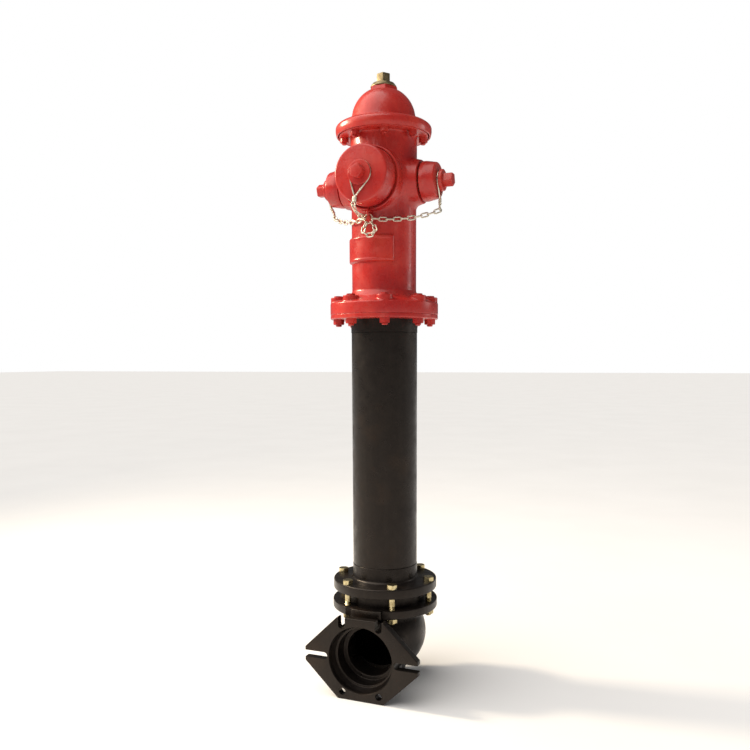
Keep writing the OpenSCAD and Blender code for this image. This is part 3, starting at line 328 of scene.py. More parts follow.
bronze_cast = metal_finish("cast_bronze", (0.34, 0.27, 0.15), (0.20, 0.155, 0.085), (0.10, 0.08, 0.05),
                           rough=0.46, scale=60)
plated_bolts = metal_finish("plated_bolt_steel", (0.72, 0.62, 0.36), (0.40, 0.31, 0.15), (0.14, 0.10, 0.06),
                            rough=0.26, scale=90)
chain_steel = metal_finish("chain_steel", (0.84, 0.80, 0.68), (0.58, 0.52, 0.40), (0.28, 0.22, 0.14),
                           rough=0.30, scale=120)
stem_steel = metal_finish("turned_stem_steel", (0.56, 0.55, 0.53), (0.42, 0.41, 0.40), (0.24, 0.20, 0.16),
                          rough=0.30, scale=40, ring_scale=260)


def rubber_finish():
    """Black rubber with a fine grey bloom."""
    mat, tree, shader = new_finish("seal_rubber", 0.62)
    here = place_coords(tree)
    greys = [(0.35, (0.012, 0.012, 0.012)), (0.75, (0.040, 0.038, 0.036))]
    colour = ramp(tree, clouds(tree, here, 70, 6), greys)
    dull = ramp(tree, clouds(tree, here, 45, 5), [(0.30, 0.50), (0.75, 0.74)])
    connect(tree, shader, colour, dull, relief(tree, clouds(tree, here, 600, 4), 0.30, 0.0003))
    return mat


seal_rubber = rubber_finish()


def floor_finish():
    """A pale floor without any shine."""
    mat, tree, shader = new_finish("pale_floor", 1.0)
    shader.inputs["Specular IOR Level"].default_value = 0.0
    tint = ramp(tree, clouds(tree, place_coords(tree), 1.5, 4), [(0.3, 0.93), (0.7, 0.96)])
    tree.links.new(tint, shader.inputs["Base Color"])
    return mat


floor.data.materials.append(floor_finish())
print("finishes:", len(bpy.data.materials))

# %% [markdown]
# ## Turned and cast shapes
# Almost every piece of a hydrant begins as a turned or cast round form. Each one starts here as a single
# corner of a plane that is walked along an outline with extrude and then spun round the axis, as on a wood
# lathe. The outline's corners are turned into arcs first, because nothing that comes out of a sand mould
# has a sharp corner, and it is those arcs that catch the light.

# %% Outline and lathe
mm = 0.001
dressed = set()


def only(piece):
    """Leaves one piece selected and active, in object mode."""
    if bpy.context.object and bpy.context.object.mode != "OBJECT":
        bpy.ops.object.mode_set(mode="OBJECT")
    bpy.ops.object.select_all(action="DESELECT")
    piece.select_set(True)
    bpy.context.view_layer.objects.active = piece


def rounded(corners, steps=5, loop=True):
    """Turns the corners of an outline of (across, up, corner radius) in millimetres into arcs."""
    points = []
    for i, corner in enumerate(corners):
        here = Vector(corner[:2])
        bend = corner[2] if len(corner) > 2 else 0
        if not bend or (not loop and i in (0, len(corners) - 1)):
            points.append(tuple(here))
            continue
        back = Vector(corners[i - 1][:2]) - here
        ahead = Vector(corners[(i + 1) % len(corners)][:2]) - here
        half = back.angle(ahead) / 2
        reach = min(bend / math.tan(half), 0.48 * back.length, 0.48 * ahead.length)
        middle = here + (back.normalized() + ahead.normalized()).normalized() * reach / math.cos(half)
        first = (here + back.normalized() * reach - middle)
        final = (here + ahead.normalized() * reach - middle)
        for k in range(steps + 1):
            way = first.normalized().slerp(final.normalized(), k / steps)
            points.append(tuple(middle + way * first.length))
    return points


def arc(angles, across_r, up_r=None, middle=(0, 0)):
    """Points of (across, up) on a circle, or on an ellipse with two radii, at angles in degrees."""
    up_r = across_r if up_r is None else up_r
    return [(middle[0] + across_r * math.cos(math.radians(a)), middle[1] + up_r * math.sin(math.radians(a)))
            for a in angles]


def walk(name, points, loop=True):
    """A line of corners through points (x, y, z) in millimetres, made by extruding one corner."""
    bpy.ops.object.select_all(action="DESELECT")
    bpy.ops.mesh.primitive_plane_add(size=0.01)
    piece = bpy.context.object
    piece.name = name
    bpy.ops.object.mode_set(mode="EDIT")
    bpy.ops.mesh.merge(type="CENTER")
    bpy.ops.transform.translate(value=Vector(points[0]) * mm)
    stops = points[1:] + (points[:1] if loop else [])
    here = Vector(points[0])
    for stop in stops:
        bpy.ops.mesh.extrude_vertices_move(TRANSFORM_OT_translate={"value": (Vector(stop) - here) * mm})
        here = Vector(stop)
    bpy.ops.mesh.select_all(action="SELECT")
    bpy.ops.mesh.remove_doubles(threshold=1e-6)
    return piece


def lathe(name, outline, steps=128, loop=True):
    """Spins an outline of (radius, height) in millimetres round Z into a closed shell."""
    piece = walk(name, [(r, 0, z) for r, z in outline], loop)
    bpy.ops.mesh.spin(steps=steps, angle=2 * math.pi, center=(0, 0, 0), axis=(0, 0, 1))
    bpy.ops.mesh.select_all(action="SELECT")
    bpy.ops.mesh.remove_doubles(threshold=1e-6)
    bpy.ops.mesh.normals_make_consistent(inside=False)
    bpy.ops.object.mode_set(mode="OBJECT")
    return piece


def plug(low, high, radius, steps=32):
    """A plain cylinder along Z, to drill with."""
    return lathe("drill", [(0, low), (radius, low), (radius, high), (0, high)], steps=steps, loop=False)


def plate(name, outline, low, high, soft=0.0):
    """Fills a flat outline of (x, y) in millimetres, draws it up from low to high and softens both rims."""
    piece = walk(name, [(x, y, low) for x, y in outline])
    bpy.ops.mesh.edge_face_add()
    bpy.ops.mesh.extrude_region_move(TRANSFORM_OT_translate={"value": (0, 0, (high - low) * mm)})
    bpy.ops.mesh.select_all(action="SELECT")
    bpy.ops.mesh.normals_make_consistent(inside=False)
    bpy.ops.mesh.select_all(action="DESELECT")
    bpy.ops.object.mode_set(mode="OBJECT")
    if soft:
        soften(piece, lambda a, b: abs(a.z - b.z) < 1e-6, soft)
    return piece


def soften(piece, chosen, soft, steps=3):
    """Bevels the edges whose two ends pass a test."""
    only(piece)
    corners = piece.data.vertices
    bpy.ops.object.mode_set(mode="EDIT")
    bpy.ops.mesh.select_mode(type="EDGE")
    bpy.ops.mesh.select_all(action="DESELECT")
    bpy.ops.object.mode_set(mode="OBJECT")
    for edge in piece.data.edges:
        a, b = (corners[i].co for i in edge.vertices)
        edge.select = chosen(a, b)
    bpy.ops.object.mode_set(mode="EDIT")
    bpy.ops.mesh.bevel(offset=soft * mm, segments=steps, affect="EDGES", clamp_overlap=True)
    bpy.ops.mesh.select_mode(type="VERT")
    bpy.ops.object.mode_set(mode="OBJECT")


def prism(name, count, radius, low, high, turn):
    """An upright prism with a number of sides."""
    bpy.ops.object.select_all(action="DESELECT")
    bpy.ops.mesh.primitive_cylinder_add(vertices=count, radius=radius * mm, depth=(high - low) * mm,
                                        location=(0, 0, (low + high) / 2 * mm), rotation=(0, 0, turn))
    piece = bpy.context.object
    piece.name = name
    bpy.ops.object.transform_apply(location=True, rotation=True, scale=True)
    return piece


def settle(piece, place):
    """Moves a piece by a matrix and applies it, so that its place is in its mesh."""
    only(piece)
    piece.matrix_world = place
    bpy.ops.object.transform_apply(location=True, rotation=True, scale=True)
    return piece


def combine(piece, tool, how="UNION"):
    """Adds a closed shape to a piece, or cuts it away, and removes the tool."""
    only(piece)
    change = piece.modifiers.new("change", "BOOLEAN")
    change.operation = how
    change.solver = "EXACT"
    change.object = tool
    bpy.ops.object.modifier_apply(modifier="change")
    only(tool)
    bpy.ops.object.delete()
    return piece


def join(pieces):
    """Joins pieces into the first of them."""
    bpy.ops.object.select_all(action="DESELECT")
    for piece in pieces:
        piece.select_set(True)
    bpy.context.view_layer.objects.active = pieces[0]
    if len(pieces) > 1:
        bpy.ops.object.join()
    return bpy.context.object


def copies(piece, places):
    """Repeats a piece at each place and joins all of them into one piece."""
    made = [piece]
    for place in places[1:]:
        only(piece)
        bpy.ops.object.duplicate()
        made.append(bpy.context.object)
    for each, place in zip(made, places):
        settle(each, place)
    return join(made)


def circle_of(count, radius, turn):
    """Places on a bolt circle, each turned to face outwards."""
    out = Matrix.Translation((radius * mm, 0, 0))
    return [Matrix.Rotation(math.radians(turn + 360 / count * i), 4, "Z") @ out for i in range(count)]


def hand_over(piece, mat, body, slot, *nodes, smooth=38):
    """Gives a piece its finish, smooth shading, body and nodes. Without a body it is left unattached."""
    only(piece)
    piece.data.materials.clear()
    piece.data.materials.append(mat)
    bpy.ops.object.shade_smooth_by_angle(angle=math.radians(smooth))
    if body:
        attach(piece, body)
    if nodes:
        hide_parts(*nodes)
        dressed.update(nodes)
    print("%s: %d faces on %s" % (piece.name, len(piece.data.polygons), body))


# %% [markdown]
# ## Heights of the hydrant
# Two heights come from the frame itself: the traffic joint, where the black standpipe ends, and the joint
# under the bonnet. The outlets' centre lies a fixed drop below the second. All the pieces are set out from
# these. Each outlet has a matrix that turns a piece spun round Z until it looks out of that outlet, and each
# ring of bolts has its count, its radius in millimetres and its first angle.

# %% Heights, outlets and bolt circles
outlet_drop = 160
break_z = round(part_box("break_ring")[1][2] / mm, 3)
bonnet_z = round(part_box("bonnet_gasket")[0][2] / mm, 3)
outlet_z = bonnet_z - outlet_drop
print("traffic joint %.1f, outlets %.1f, bonnet joint %.1f mm" % (break_z, outlet_z, bonnet_z))
quarter = math.pi / 2
turns = {"pumper": Matrix.Rotation(quarter, 4, "X"), "right": Matrix.Rotation(quarter, 4, "Y"),
         "left": Matrix.Rotation(-quarter, 4, "Y")}
out_of = {side: Matrix.Translation((0, 0, outlet_z * mm)) @ turn for side, turn in turns.items()}
traffic_circle, bonnet_circle, shoe_circle = (8, 141, -67.5), (8, 119, -67.5), (6, 147, -60)
bolt_hole_r = 9.6

# %% [markdown]
# ## The bonnet
# The bonnet is one casting: a brim that hangs over the bolts, a bell-shaped dome and a six-sided boss for
# the bronze nut. It is spun from one outline. Only the boss isn't round, so its rings are pulled in between
# six corners afterwards, less and less towards the dome, which leaves the soft hollow that a pattern
# maker's fillet has.

# %% Bonnet
boss_top = 122
six_sided_from = 104
boss_bore = 31
dome = arc(range(14, 62, 2), 96, 93, (0, 29))
brim = arc(range(0, 76, 3), 43, 19, (101.5, 0))
brim_edge = [(137.5, 0, 3), (137.5, -21, 2), (141.8, -21, 3.4), (144.5, -9, 30), (144.5, 0)]
shell = rounded(brim_edge, steps=8)[:-1] + brim[1:] + \
    rounded([brim[-1], (99.5, 19.4, 8), (96.4, 36, 12), dome[0]], loop=False)[1:-1] + dome + \
    rounded([dome[-1], (44.5, 110.6, 6), (43.6, boss_top, 4), (boss_bore, boss_top, 1), (boss_bore, 96.1),
             (22.9, 96.1), (22.9, 88.1), (41, 88.1, 3), (41, 101, 4), (60, 87)], loop=False)[1:] + \
    arc(range(40, -1, -5), 85, 82, (0, 29)) + \
    [(85, 9.1), (94.1, 9.1), (94.1, 0)]
bonnet = lathe("bonnet_casting", [(r, z + bonnet_z) for r, z in shell])
for corner in bonnet.data.vertices:
    height = corner.co.z / mm - bonnet_z
    around = math.degrees(math.atan2(corner.co.y, corner.co.x)) % 60 - 30
    across = math.hypot(corner.co.x, corner.co.y) / mm
    if height > six_sided_from and across > boss_bore + 2:
        flat = min(math.cos(math.radians(30)) / math.cos(math.radians(around)), 0.975)
        pull = min(1.0, max(0.0, (height - six_sided_from) / 8)) ** 2 * min(1.0, (across - boss_bore) / 9)
        share = 1 + (flat - 1) * pull
        corner.co.x *= share
        corner.co.y *= share
hand_over(bonnet, red_enamel, "hydrant", "red_paint", "bonnet")

# %% [markdown]
# ## The barrel and its outlet bosses
# The upper barrel is cast in one piece with the traffic flange, three outlet bosses, the chain lug and a
# blank raised panel. Each boss would be a plain tube, but where it leaves the barrel a casting has a
# fillet. So a boss is spun with many fine rings, and every ring's corner moves out until it touches a
# round fillet laid between the boss and whatever it grows from. The pieces then become one by a boolean.

# %% Fillets between cast shapes
barrel_r = 98.5
pumper_boss_r = 92
hose_boss_r = 77


def from_barrel(p):
    """How far a point in millimetres is outside the barrel's wall."""
    return math.hypot(p.x, p.y) - barrel_r


def from_pumper(p):
    """How far a point is outside the pumper boss or the barrel, whichever is nearer."""
    boss = math.hypot(p.x, p.z - outlet_z) - pumper_boss_r
    return min(from_barrel(p), boss if p.y < 0 else 1000.0)


def flare(piece, place, others, fillet, keep=None):
    """Moves the side of a boss out onto a round fillet between it and its neighbours."""
    for corner in piece.data.vertices:
        x, y, along = corner.co / mm
        own = math.hypot(x, y)
        if own < 1 or (keep and not keep(own, along)):
            continue

        def spare(out):
            p = (place @ (Vector((x / own * (own + out), y / own * (own + out), along)) * mm)) / mm
            gap = others(p)
            return max(fillet, min(out, gap)) - math.hypot(max(fillet - out, 0), max(fillet - gap, 0))

        low, high = 0.0, fillet
        if spare(high) <= 0:
            low = high
        else:
            for _ in range(14):
                half = (low + high) / 2
                low, high = (half, high) if spare(half) <= 0 else (low, half)
        corner.co.x = x / own * (own + low) * mm
        corner.co.y = y / own * (own + low) * mm
    return piece


def fine(start, end, step, radius_at):
    """A straight or tapered side in fine steps."""
    count = max(1, round((end - start) / step))
    heights = [start + (end - start) * i / count for i in range(count + 1)]
    return [(radius_at(height), height) for height in heights]


# %% Barrel body
barrel = lathe("barrel_casting", [(r, z + break_z) for r, z in [(0, 0)] + rounded([
    (0, 0), (166, 0, 2.5), (166, 35, 5), (108, 54, 16), (98.5, 72, 14), (98.5, 383, 12), (100.5, 397, 12),
    (100.5, 528, 5), (134, 528, 2), (134, 550, 2), (0, 550)], loop=False)])
pumper_face, hose_face = 114, 125
pumper_rim = [(pumper_boss_r, 110), (pumper_boss_r, pumper_face, 2.2), (87.5, pumper_face, 1), (85.5, 107),
              (79, 107), (79, pumper_face), (60, pumper_face)]
pumper_boss = lathe("pumper_boss", [(0, 20)] + fine(20, 110, 1.6, lambda t: pumper_boss_r) +
                    rounded(pumper_rim, loop=False)[1:] + [(0, pumper_face)])
flare(pumper_boss, out_of["pumper"], from_barrel, 9)
combine(barrel, settle(pumper_boss, out_of["pumper"]))


def hose_radius(along):
    """The hose boss narrows by 14 in 47 from just outside the barrel to its face."""
    narrows_from = 73.9
    return hose_boss_r - (along - narrows_from) * 14 / 47 if along > narrows_from else hose_boss_r


for side in ("right", "left"):
    hose_rim = rounded([(63.6, 119), (62.5, hose_face, 3), (40, hose_face)], loop=False)
    boss = lathe("hose_boss", [(0, 50)] + fine(50, 119, 1.6, hose_radius) + hose_rim[1:] + [(0, hose_face)])
    flare(boss, out_of[side], from_pumper, 11)
    combine(barrel, settle(boss, out_of[side]))
print("barrel with outlet bosses:", len(barrel.data.polygons), "faces")

# %% [markdown]
# ## Bolt bosses, chain lug and blank panel
# Eight round bosses lift the bolt heads off the sloping flange. The chain lug is a small cast eye, and the
# panel is the raised place where a foundry would cast its marks. Here it stays blank, with a plain bead
# round its edge.

# %% Bolt bosses on the traffic flange
bolt_places = circle_of(*traffic_circle)
bolt_boss_r, bolt_boss_side, bolt_boss_h = 23.6, 51, 54
flange_rim = 0.1654


def from_shoulder(p):
    """How far a point is above the sloping top of the flange."""
    return (p.z - break_z - 35 - (162 - math.hypot(p.x, p.y)) * 0.33) * 0.95


foot_at, side_at, top_at = break_z + 16, break_z + bolt_boss_side, break_z + bolt_boss_h
for place in bolt_places:
    stub = lathe("bolt_boss", [(0, foot_at)] + fine(foot_at, side_at, 1.5, lambda t: bolt_boss_r) +
                 rounded([(bolt_boss_r, side_at), (23.2, top_at, 2.5), (15, top_at)], loop=False)[1:] +
                 [(0, top_at)], steps=40)
    flare(stub, place, from_shoulder, 5)
    settle(stub, place)
    for corner in stub.data.vertices:
        across = math.hypot(corner.co.x, corner.co.y)
        if across > flange_rim:
            corner.co.x *= flange_rim / across
            corner.co.y *= flange_rim / across
    combine(barrel, stub)

# %% Chain lug
lug_y, lug_z = -119.5, outlet_z - 101
lug_r, lug_hole_r = 10, 6
lug_out = [(lug_y - lug_r * math.sin(math.radians(a)), lug_r * math.cos(math.radians(a)))
           for a in range(0, 181, 12)]
lug_in = [(-97, -22), (-90, -24), (-90, 24), (-97, 22)]
lug = plate("chain_lug", [(y, z + lug_z) for y, z in lug_out + lug_in], -3, 3, 1.4)
stand = Matrix(((0, 0, 1, 0), (1, 0, 0, 0), (0, 1, 0, 0), (0, 0, 0, 1)))
combine(barrel, settle(lug, stand))
hole = plate("lug_hole", arc(range(0, 360, 10), lug_hole_r, middle=(lug_y, lug_z)), -20, 20)
combine(barrel, settle(hole, stand), "DIFFERENCE")

# %% Blank panel
panel_low, panel_high = 152, 232
panel_from, panel_to = math.radians(-160), math.radians(-50)
panel_rise, panel_slope, panel_sunk = 6.6, 5, 1.2
bead_rise, bead_inset, bead_width = 0.9, 9, 2.4
bpy.ops.object.select_all(action="DESELECT")
bpy.ops.mesh.primitive_grid_add(x_subdivisions=96, y_subdivisions=44, size=1)
panel = bpy.context.object
panel.name = "blank_panel"
for corner in panel.data.vertices:
    u, v = corner.co.x + 0.5, corner.co.y + 0.5
    turn = panel_from + (panel_to - panel_from) * u
    up = panel_low + (panel_high - panel_low) * v
    inside = min(min(u, 1 - u) * (panel_to - panel_from) * barrel_r, min(v, 1 - v) * (panel_high - panel_low))
    edge = min(1.0, inside / panel_slope)
    rise = panel_rise * edge * edge * (3 - 2 * edge)
    bead = bead_rise * math.exp(-((inside - bead_inset) / bead_width) ** 2)
    out = barrel_r - panel_sunk + panel_sunk * edge + rise + bead
    corner.co = Vector((out * math.cos(turn), out * math.sin(turn), up + break_z)) * mm
only(panel)
bpy.ops.object.mode_set(mode="EDIT")
bpy.ops.mesh.select_all(action="SELECT")
bpy.ops.mesh.extrude_region_move()
bpy.ops.transform.resize(value=(0.86, 0.86, 1))
bpy.ops.mesh.select_all(action="SELECT")
bpy.ops.mesh.normals_make_consistent(inside=False)
bpy.ops.object.mode_set(mode="OBJECT")
combine(barrel, panel)

# %% Waterways, bore and bolt holes
pumper_bore, hose_bore = 66.25, 42.05
for side, radius, face_at in (("pumper", pumper_bore, pumper_face), ("right", hose_bore, hose_face),
                              ("left", hose_bore, hose_face)):
    combine(barrel, settle(plug(10, face_at + 4, radius, steps=128), out_of[side]), "DIFFERENCE")
bore = lathe("bore", [(0, break_z - 4), (86.5, break_z - 4), (86.5, break_z + 545), (94.1, break_z + 545),
                      (94.1, break_z + 554), (0, break_z + 554)], loop=False)
combine(barrel, bore, "DIFFERENCE")
for low, high, radius, circle in ((-4, 60, bolt_hole_r, traffic_circle), (520, 556, 8, bonnet_circle)):
    drill = plug(break_z + low, break_z + high, radius)
    combine(barrel, copies(drill, circle_of(*circle)), "DIFFERENCE")
hand_over(barrel, red_enamel, "hydrant", "red_paint", "upper_barrel")

# %% [markdown]
# ## Five-sided nuts and the outlet caps
# Hydrant nuts have five sides, so that an ordinary spanner won't turn them. One is a five-cornered prism
# whose long edges and end are bevelled, because years of wrenches round them off. A cap is spun from its
# outline, with a groove behind a hub for the chain ring, and the nut grows out of the hub.

# %% Wrench nut and caps


def wrench_nut(low, high, radius=21.06):
    """A five-sided nut along Z, its long edges and outer end worn round."""
    nut = prism("wrench_nut", 5, radius, low, high, -quarter)
    soften(nut, lambda a, b: abs(a.z - b.z) > 1e-4, 2.4, 3)
    soften(nut, lambda a, b: min(a.z, b.z) > high * mm - 1e-5, 1.6, 3)
    return nut


pumper_shape = [(73.25, 119, 0.6), (84, 119, 2), (84, 131, 4), (80.6, 179, 6), (30, 179, 1.5), (30, 186, 1.5),
                (34.6, 186, 1.2), (34.6, 190, 2.4)]
hose_shape = [(39.05, 130, 0.6), (57.5, 130, 1.8), (57.5, 142, 4), (51.4, 175, 5.5), (22, 175, 1.5),
              (22, 182, 1.5), (31, 182, 1.2), (31, 192, 2.4)]
for name, side, shape, floor_at, nut_l in (("pumper_cap", "pumper", pumper_shape, 167, 21.8),
                                           ("hose_cap_right", "right", hose_shape, 163, 28),
                                           ("hose_cap_left", "left", hose_shape, 163, 28)):
    top = shape[-1][1]
    cap = lathe(name + "_casting", rounded(shape + [(0, top), (0, floor_at), (shape[0][0], floor_at, 1)]))
    combine(cap, wrench_nut(top - 1, top + nut_l))
    settle(cap, out_of[side])
    hand_over(cap, red_enamel, name, "red_paint", name)

# %% [markdown]
# ## The bronze works on top
# The operating nut sits in the boss under a hold-down nut. Both are turned from bronze bar. The nut is hollow
# where the stem's thread runs, which shows only when the bonnet is taken apart.

# %% Operating nut and hold-down nut
top_z = bonnet_z + boss_top
turned = lathe("operating_nut_bronze", rounded([
    (15.94, top_z - 97.4), (22.5, top_z - 97.4, 1), (22.5, top_z - 23.4), (27, top_z - 23.4, 0.8),
    (27, top_z - 12.4, 0.8), (19, top_z - 12.4), (19, top_z + 12.4), (0, top_z + 12.4), (0, top_z - 16.4),
    (15.94, top_z - 16.4)]), steps=96)
combine(turned, wrench_nut(top_z + 12.4, top_z + 40))
hand_over(turned, bronze_cast, "operating_nut", "bronze", "operating_nut")
hold_down = lathe("hold_down_bronze", rounded([
    (19.06, top_z - 12), (30.9, top_z - 12, 0.6), (30.9, top_z), (39, top_z, 1.2), (39, top_z + 3.2, 1.6),
    (32.4, top_z + 11.9, 2.2), (25, top_z + 11.9, 0.5), (25, top_z + 8.5), (19.06, top_z + 8.5)]))
hand_over(hold_down, bronze_cast, "hydrant", "bronze", "hold_down_nut")

# %% [markdown]
# ## Bolts and nuts
# A hexagon head is a six-cornered prism cut by a turned crown, which leaves the curved chamfer that every
# forged head has. The thread is a stack of fine ridges, because at this size nobody can see that they don't
# climb. One bolt and one nut are modelled for each joint and copied round the circle. The bonnet's bolts are
# studs, so their head has no radius, and its last height is where the rod ends.

# %% Hexagon heads, nuts and threads


def hexagon(radius, low, high, crown_up=True):
    """A six-sided head or nut whose outer end is crowned."""
    head = prism("hexagon", 6, radius, low, high, quarter)
    soften(head, lambda a, b: abs(a.z - b.z) > 1e-4, 0.7, 2)
    drop, flat = radius * 0.13, radius * 0.86
    ends = [(0, low - 1), (radius + 1, low - 1), (radius + 1, high - drop), (flat, high), (0, high)]
    if not crown_up:
        ends = [(0, high + 1), (radius + 1, high + 1), (radius + 1, low + drop), (flat, low), (0, low)]
    outline = rounded([end + ((1.0,) if end[0] > 1 else ()) for end in ends], loop=False)
    return combine(head, lathe("crown", outline, steps=48, loop=False), "INTERSECT")


def threaded(radius, low, high, thread_to, pitch=2.2):
    """A rod with a rounded lower end and thread ridges up to thread_to."""
    rows = [(0, low), (radius - 2.2, low), (radius - 0.9, low + 1.6)]
    z = low + 1.6
    while z < thread_to:
        rows += [(radius - 1.0, z + pitch * 0.1), (radius, z + pitch * 0.5), (radius, z + pitch * 0.6)]
        z += pitch
    return lathe("rod", rows + [(radius - 0.3, z + 1), (radius - 0.3, high), (0, high)], steps=28, loop=False)


def nut_on(hole, radius, low, high):
    """A nut under a flange, crowned below, with a hole for its rod."""
    nut = hexagon(radius, low, high, crown_up=False)
    return combine(nut, plug(low - 2, high + 2, hole), "DIFFERENCE")


# %% Bolt sets
# Each has a circle, the head's radius and ends, the rod's radius and low end, the nut's radius and ends, the
# thread above the nut, a finish and its slot.
joints = [
    ("break", traffic_circle, (14, break_z + bolt_boss_h, break_z + 59), (9.5, break_z - 34),
     (17, break_z - 28, break_z - 13), 4, red_fittings, "red_steel"),
    ("bonnet", bonnet_circle, (0, 0, bonnet_z + 9.9), (7.9, bonnet_z - 42),
     (13.5, bonnet_z - 36, bonnet_z - 22), 4, red_fittings, "red_steel"),
    ("shoe", shoe_circle, (17, 339, 352), (9.5, 227), (17, 233, 246), 38, plated_bolts, "plated_steel"),
]
for joint, circle, head, (rod_r, rod_low), nut, spare_thread, mat, slot in joints:
    head_r, seat, top = head
    bolt = threaded(rod_r, rod_low, seat + 1 if head_r else top, nut[-1] + spare_thread)
    if head_r:
        combine(bolt, hexagon(*head))
    bolt.name = joint + "_bolt_set"
    hand_over(copies(bolt, circle_of(*circle)), mat, "hydrant", slot, joint + "_bolts")
    one_nut = nut_on(rod_r + 0.1, *nut)
    one_nut.name = joint + "_nut_set"
    hand_over(copies(one_nut, circle_of(*circle)), mat, "hydrant", slot, joint + "_nuts")

# %% [markdown]
# ## The breakable ring
# The ring under the traffic flange is made to snap when a car strikes the hydrant. It is a flat turned ring
# whose bolt holes are drilled after it is spun.

# %% Break ring
ring = lathe("break_ring_turned", rounded([
    (102.8, break_z - 13, 0.6), (165.6, break_z - 13, 3), (165.6, break_z, 1.6), (118.1, break_z),
    (118.1, break_z - 6.1), (102.8, break_z - 6.1)]))
combine(ring, copies(plug(break_z - 16, break_z + 3, bolt_hole_r), bolt_places), "DIFFERENCE")
hand_over(ring, red_enamel, "hydrant", "red_paint", "break_ring")

# %% [markdown]
# ## Chain rings
# A ring of wire lies loosely in each cap's groove, so the cap can turn while the chain hangs still. The
# blacksmith draws its two ends together, twists them and closes one into an eye, and the spare end is wound
# round the twist. Wire is easiest as a curve with a round bevel, turned into a mesh at the end.

# %% Bent wire


def wire(name, points, radius, thick=None, closed=False):
    """A round wire through points in millimetres; thick gives each point its share of the radius."""
    line = bpy.data.curves.new(name, "CURVE")
    line.dimensions = "3D"
    line.bevel_depth = radius * mm
    line.bevel_resolution = 4
    line.use_fill_caps = not closed
    spline = line.splines.new("POLY")
    spline.points.add(len(points) - 1)
    spline.use_cyclic_u = closed
    for spot, point, share in zip(spline.points, points, thick or [1] * len(points)):
        spot.co = (*(Vector(point) * mm), 1)
        spot.radius = share
    piece = bpy.data.objects.new(name, line)
    bpy.context.collection.objects.link(piece)
    only(piece)
    bpy.ops.object.convert(target="MESH")
    return bpy.context.object


def chain_ring(side, name, body, groove, drop, eye, reach, lean, turn):
    """The loop in the groove, its twisted shank and the eye that takes the chain.

    The wire's ends meet at drop under the cap's axis and the eye's middle is at eye. Reach is the ring's
    distance from the barrel's axis, and lean moves the eye back towards the barrel.
    """
    ring_r, low, twist_r, wrap_r, eye_r = groove + 2.8, -0.2, 2.7, 5.2, 6
    half = math.acos(ring_r / (drop + low))
    angles = [-math.pi / 2 + half + (2 * math.pi - 2 * half) * i / 72 for i in range(73)]
    loop = [(ring_r * math.cos(a), low + ring_r * math.sin(a), 0) for a in angles]
    top, end = Vector((0, 4 - drop, 0)), Vector((0, eye_r - eye, -lean))

    def wound(share, spin, out):
        spot = top + (end - top) * share
        return spot + Vector((out * math.cos(spin), 0, 0.6 * out * math.sin(spin) + 0.8))

    right = [wound(i / 30, math.pi * 3.0 * i / 30, twist_r) for i in range(31)]
    left = [wound(i / 30, math.pi + math.pi * 3.0 * i / 30, twist_r) for i in range(29)]
    centre = Vector((0, -eye, -lean))
    round_eye = [centre + Vector((eye_r * math.sin(a), eye_r * math.cos(a), 0.9 * math.sin(a / 2)))
                 for a in [math.radians(18 * i) for i in range(1, 20)]]
    main = [tuple(p) for p in reversed(left)] + list(reversed(loop)) + [tuple(p) for p in right + round_eye]
    thick = [1.25] * (len(main) - 24) + [1.25 - 0.25 * i / 8 for i in range(9)] + [1] * 15
    main_wire = wire(name + "_wire", main, 2.0, thick)
    spare = [wound(0.22 + 0.62 * i / 72, math.pi * 6 * i / 72, wrap_r) for i in range(73)]
    piece = join([main_wire, wire(name + "_wrap", [tuple(p) for p in spare], 1.9)])
    up = {"pumper": 0, "right": quarter, "left": -quarter}[side]
    place = out_of[side] @ Matrix.Rotation(up, 4, "Z") @ Matrix.Translation((0, 0, reach * mm)) @ \
        Matrix.Rotation(math.radians(turn), 4, "Z")
    settle(piece, place)
    hand_over(piece, chain_steel, body, "chain_steel", name, smooth=60)


chain_ring("pumper", "pumper_chain_ring", "pumper_carrier",
           groove=30, drop=68, eye=87, reach=182.5, lean=0, turn=-13)
chain_ring("right", "hose_chain_ring_right", "hose_carrier_right",
           groove=22, drop=54, eye=80, reach=178.5, lean=0, turn=0)
chain_ring("left", "hose_chain_ring_left", "hose_carrier_left",
           groove=22, drop=54, eye=80, reach=178.5, lean=12, turn=0)

# %% [markdown]
# ## Chains
# A link is a piece of wire bent to a long ring and welded shut, with thicker flanks where the weld and the
# plating build up. The frame's own chains say where each link lies and which way it is turned. When a cap is
# unscrewed, its chain stays in the lug at one end and follows the cap at the other. A chain that hangs from a
# cap gets no body here, and its place is baked into its mesh. The loop of spare links only hangs in the lug.

# %% Links in their places


def links_of(node):
    """A matrix, length and width in millimetres for every link of a chain in the frame.

    A link's corners spread most along its length, then its width, so those spreads say how it is turned.
    """
    guide = bpy.data.objects.new("chain_guide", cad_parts[node].data.copy())
    bpy.context.collection.objects.link(guide)
    only(guide)
    bpy.ops.object.mode_set(mode="EDIT")
    bpy.ops.mesh.select_all(action="SELECT")
    bpy.ops.mesh.remove_doubles(threshold=1e-5)
    bpy.ops.mesh.separate(type="LOOSE")
    bpy.ops.object.mode_set(mode="OBJECT")
    found = []
    for part in list(bpy.context.selected_objects):
        spots = np.array([corner.co for corner in part.data.vertices])
        axes = np.linalg.svd(spots - spots.mean(axis=0), full_matrices=False)[2]
        axes[2] = np.cross(axes[0], axes[1])
        reach = spots @ axes.T
        middle = (reach.max(axis=0) + reach.min(axis=0)) / 2 @ axes
        size = (reach.max(axis=0) - reach.min(axis=0)) / mm
        place = Matrix(axes.T.tolist()).to_4x4()
        place.translation = middle
        found.append((place, size[0], size[1]))
        bpy.data.objects.remove(part, do_unlink=True)
    return found


link_wire = 1.8


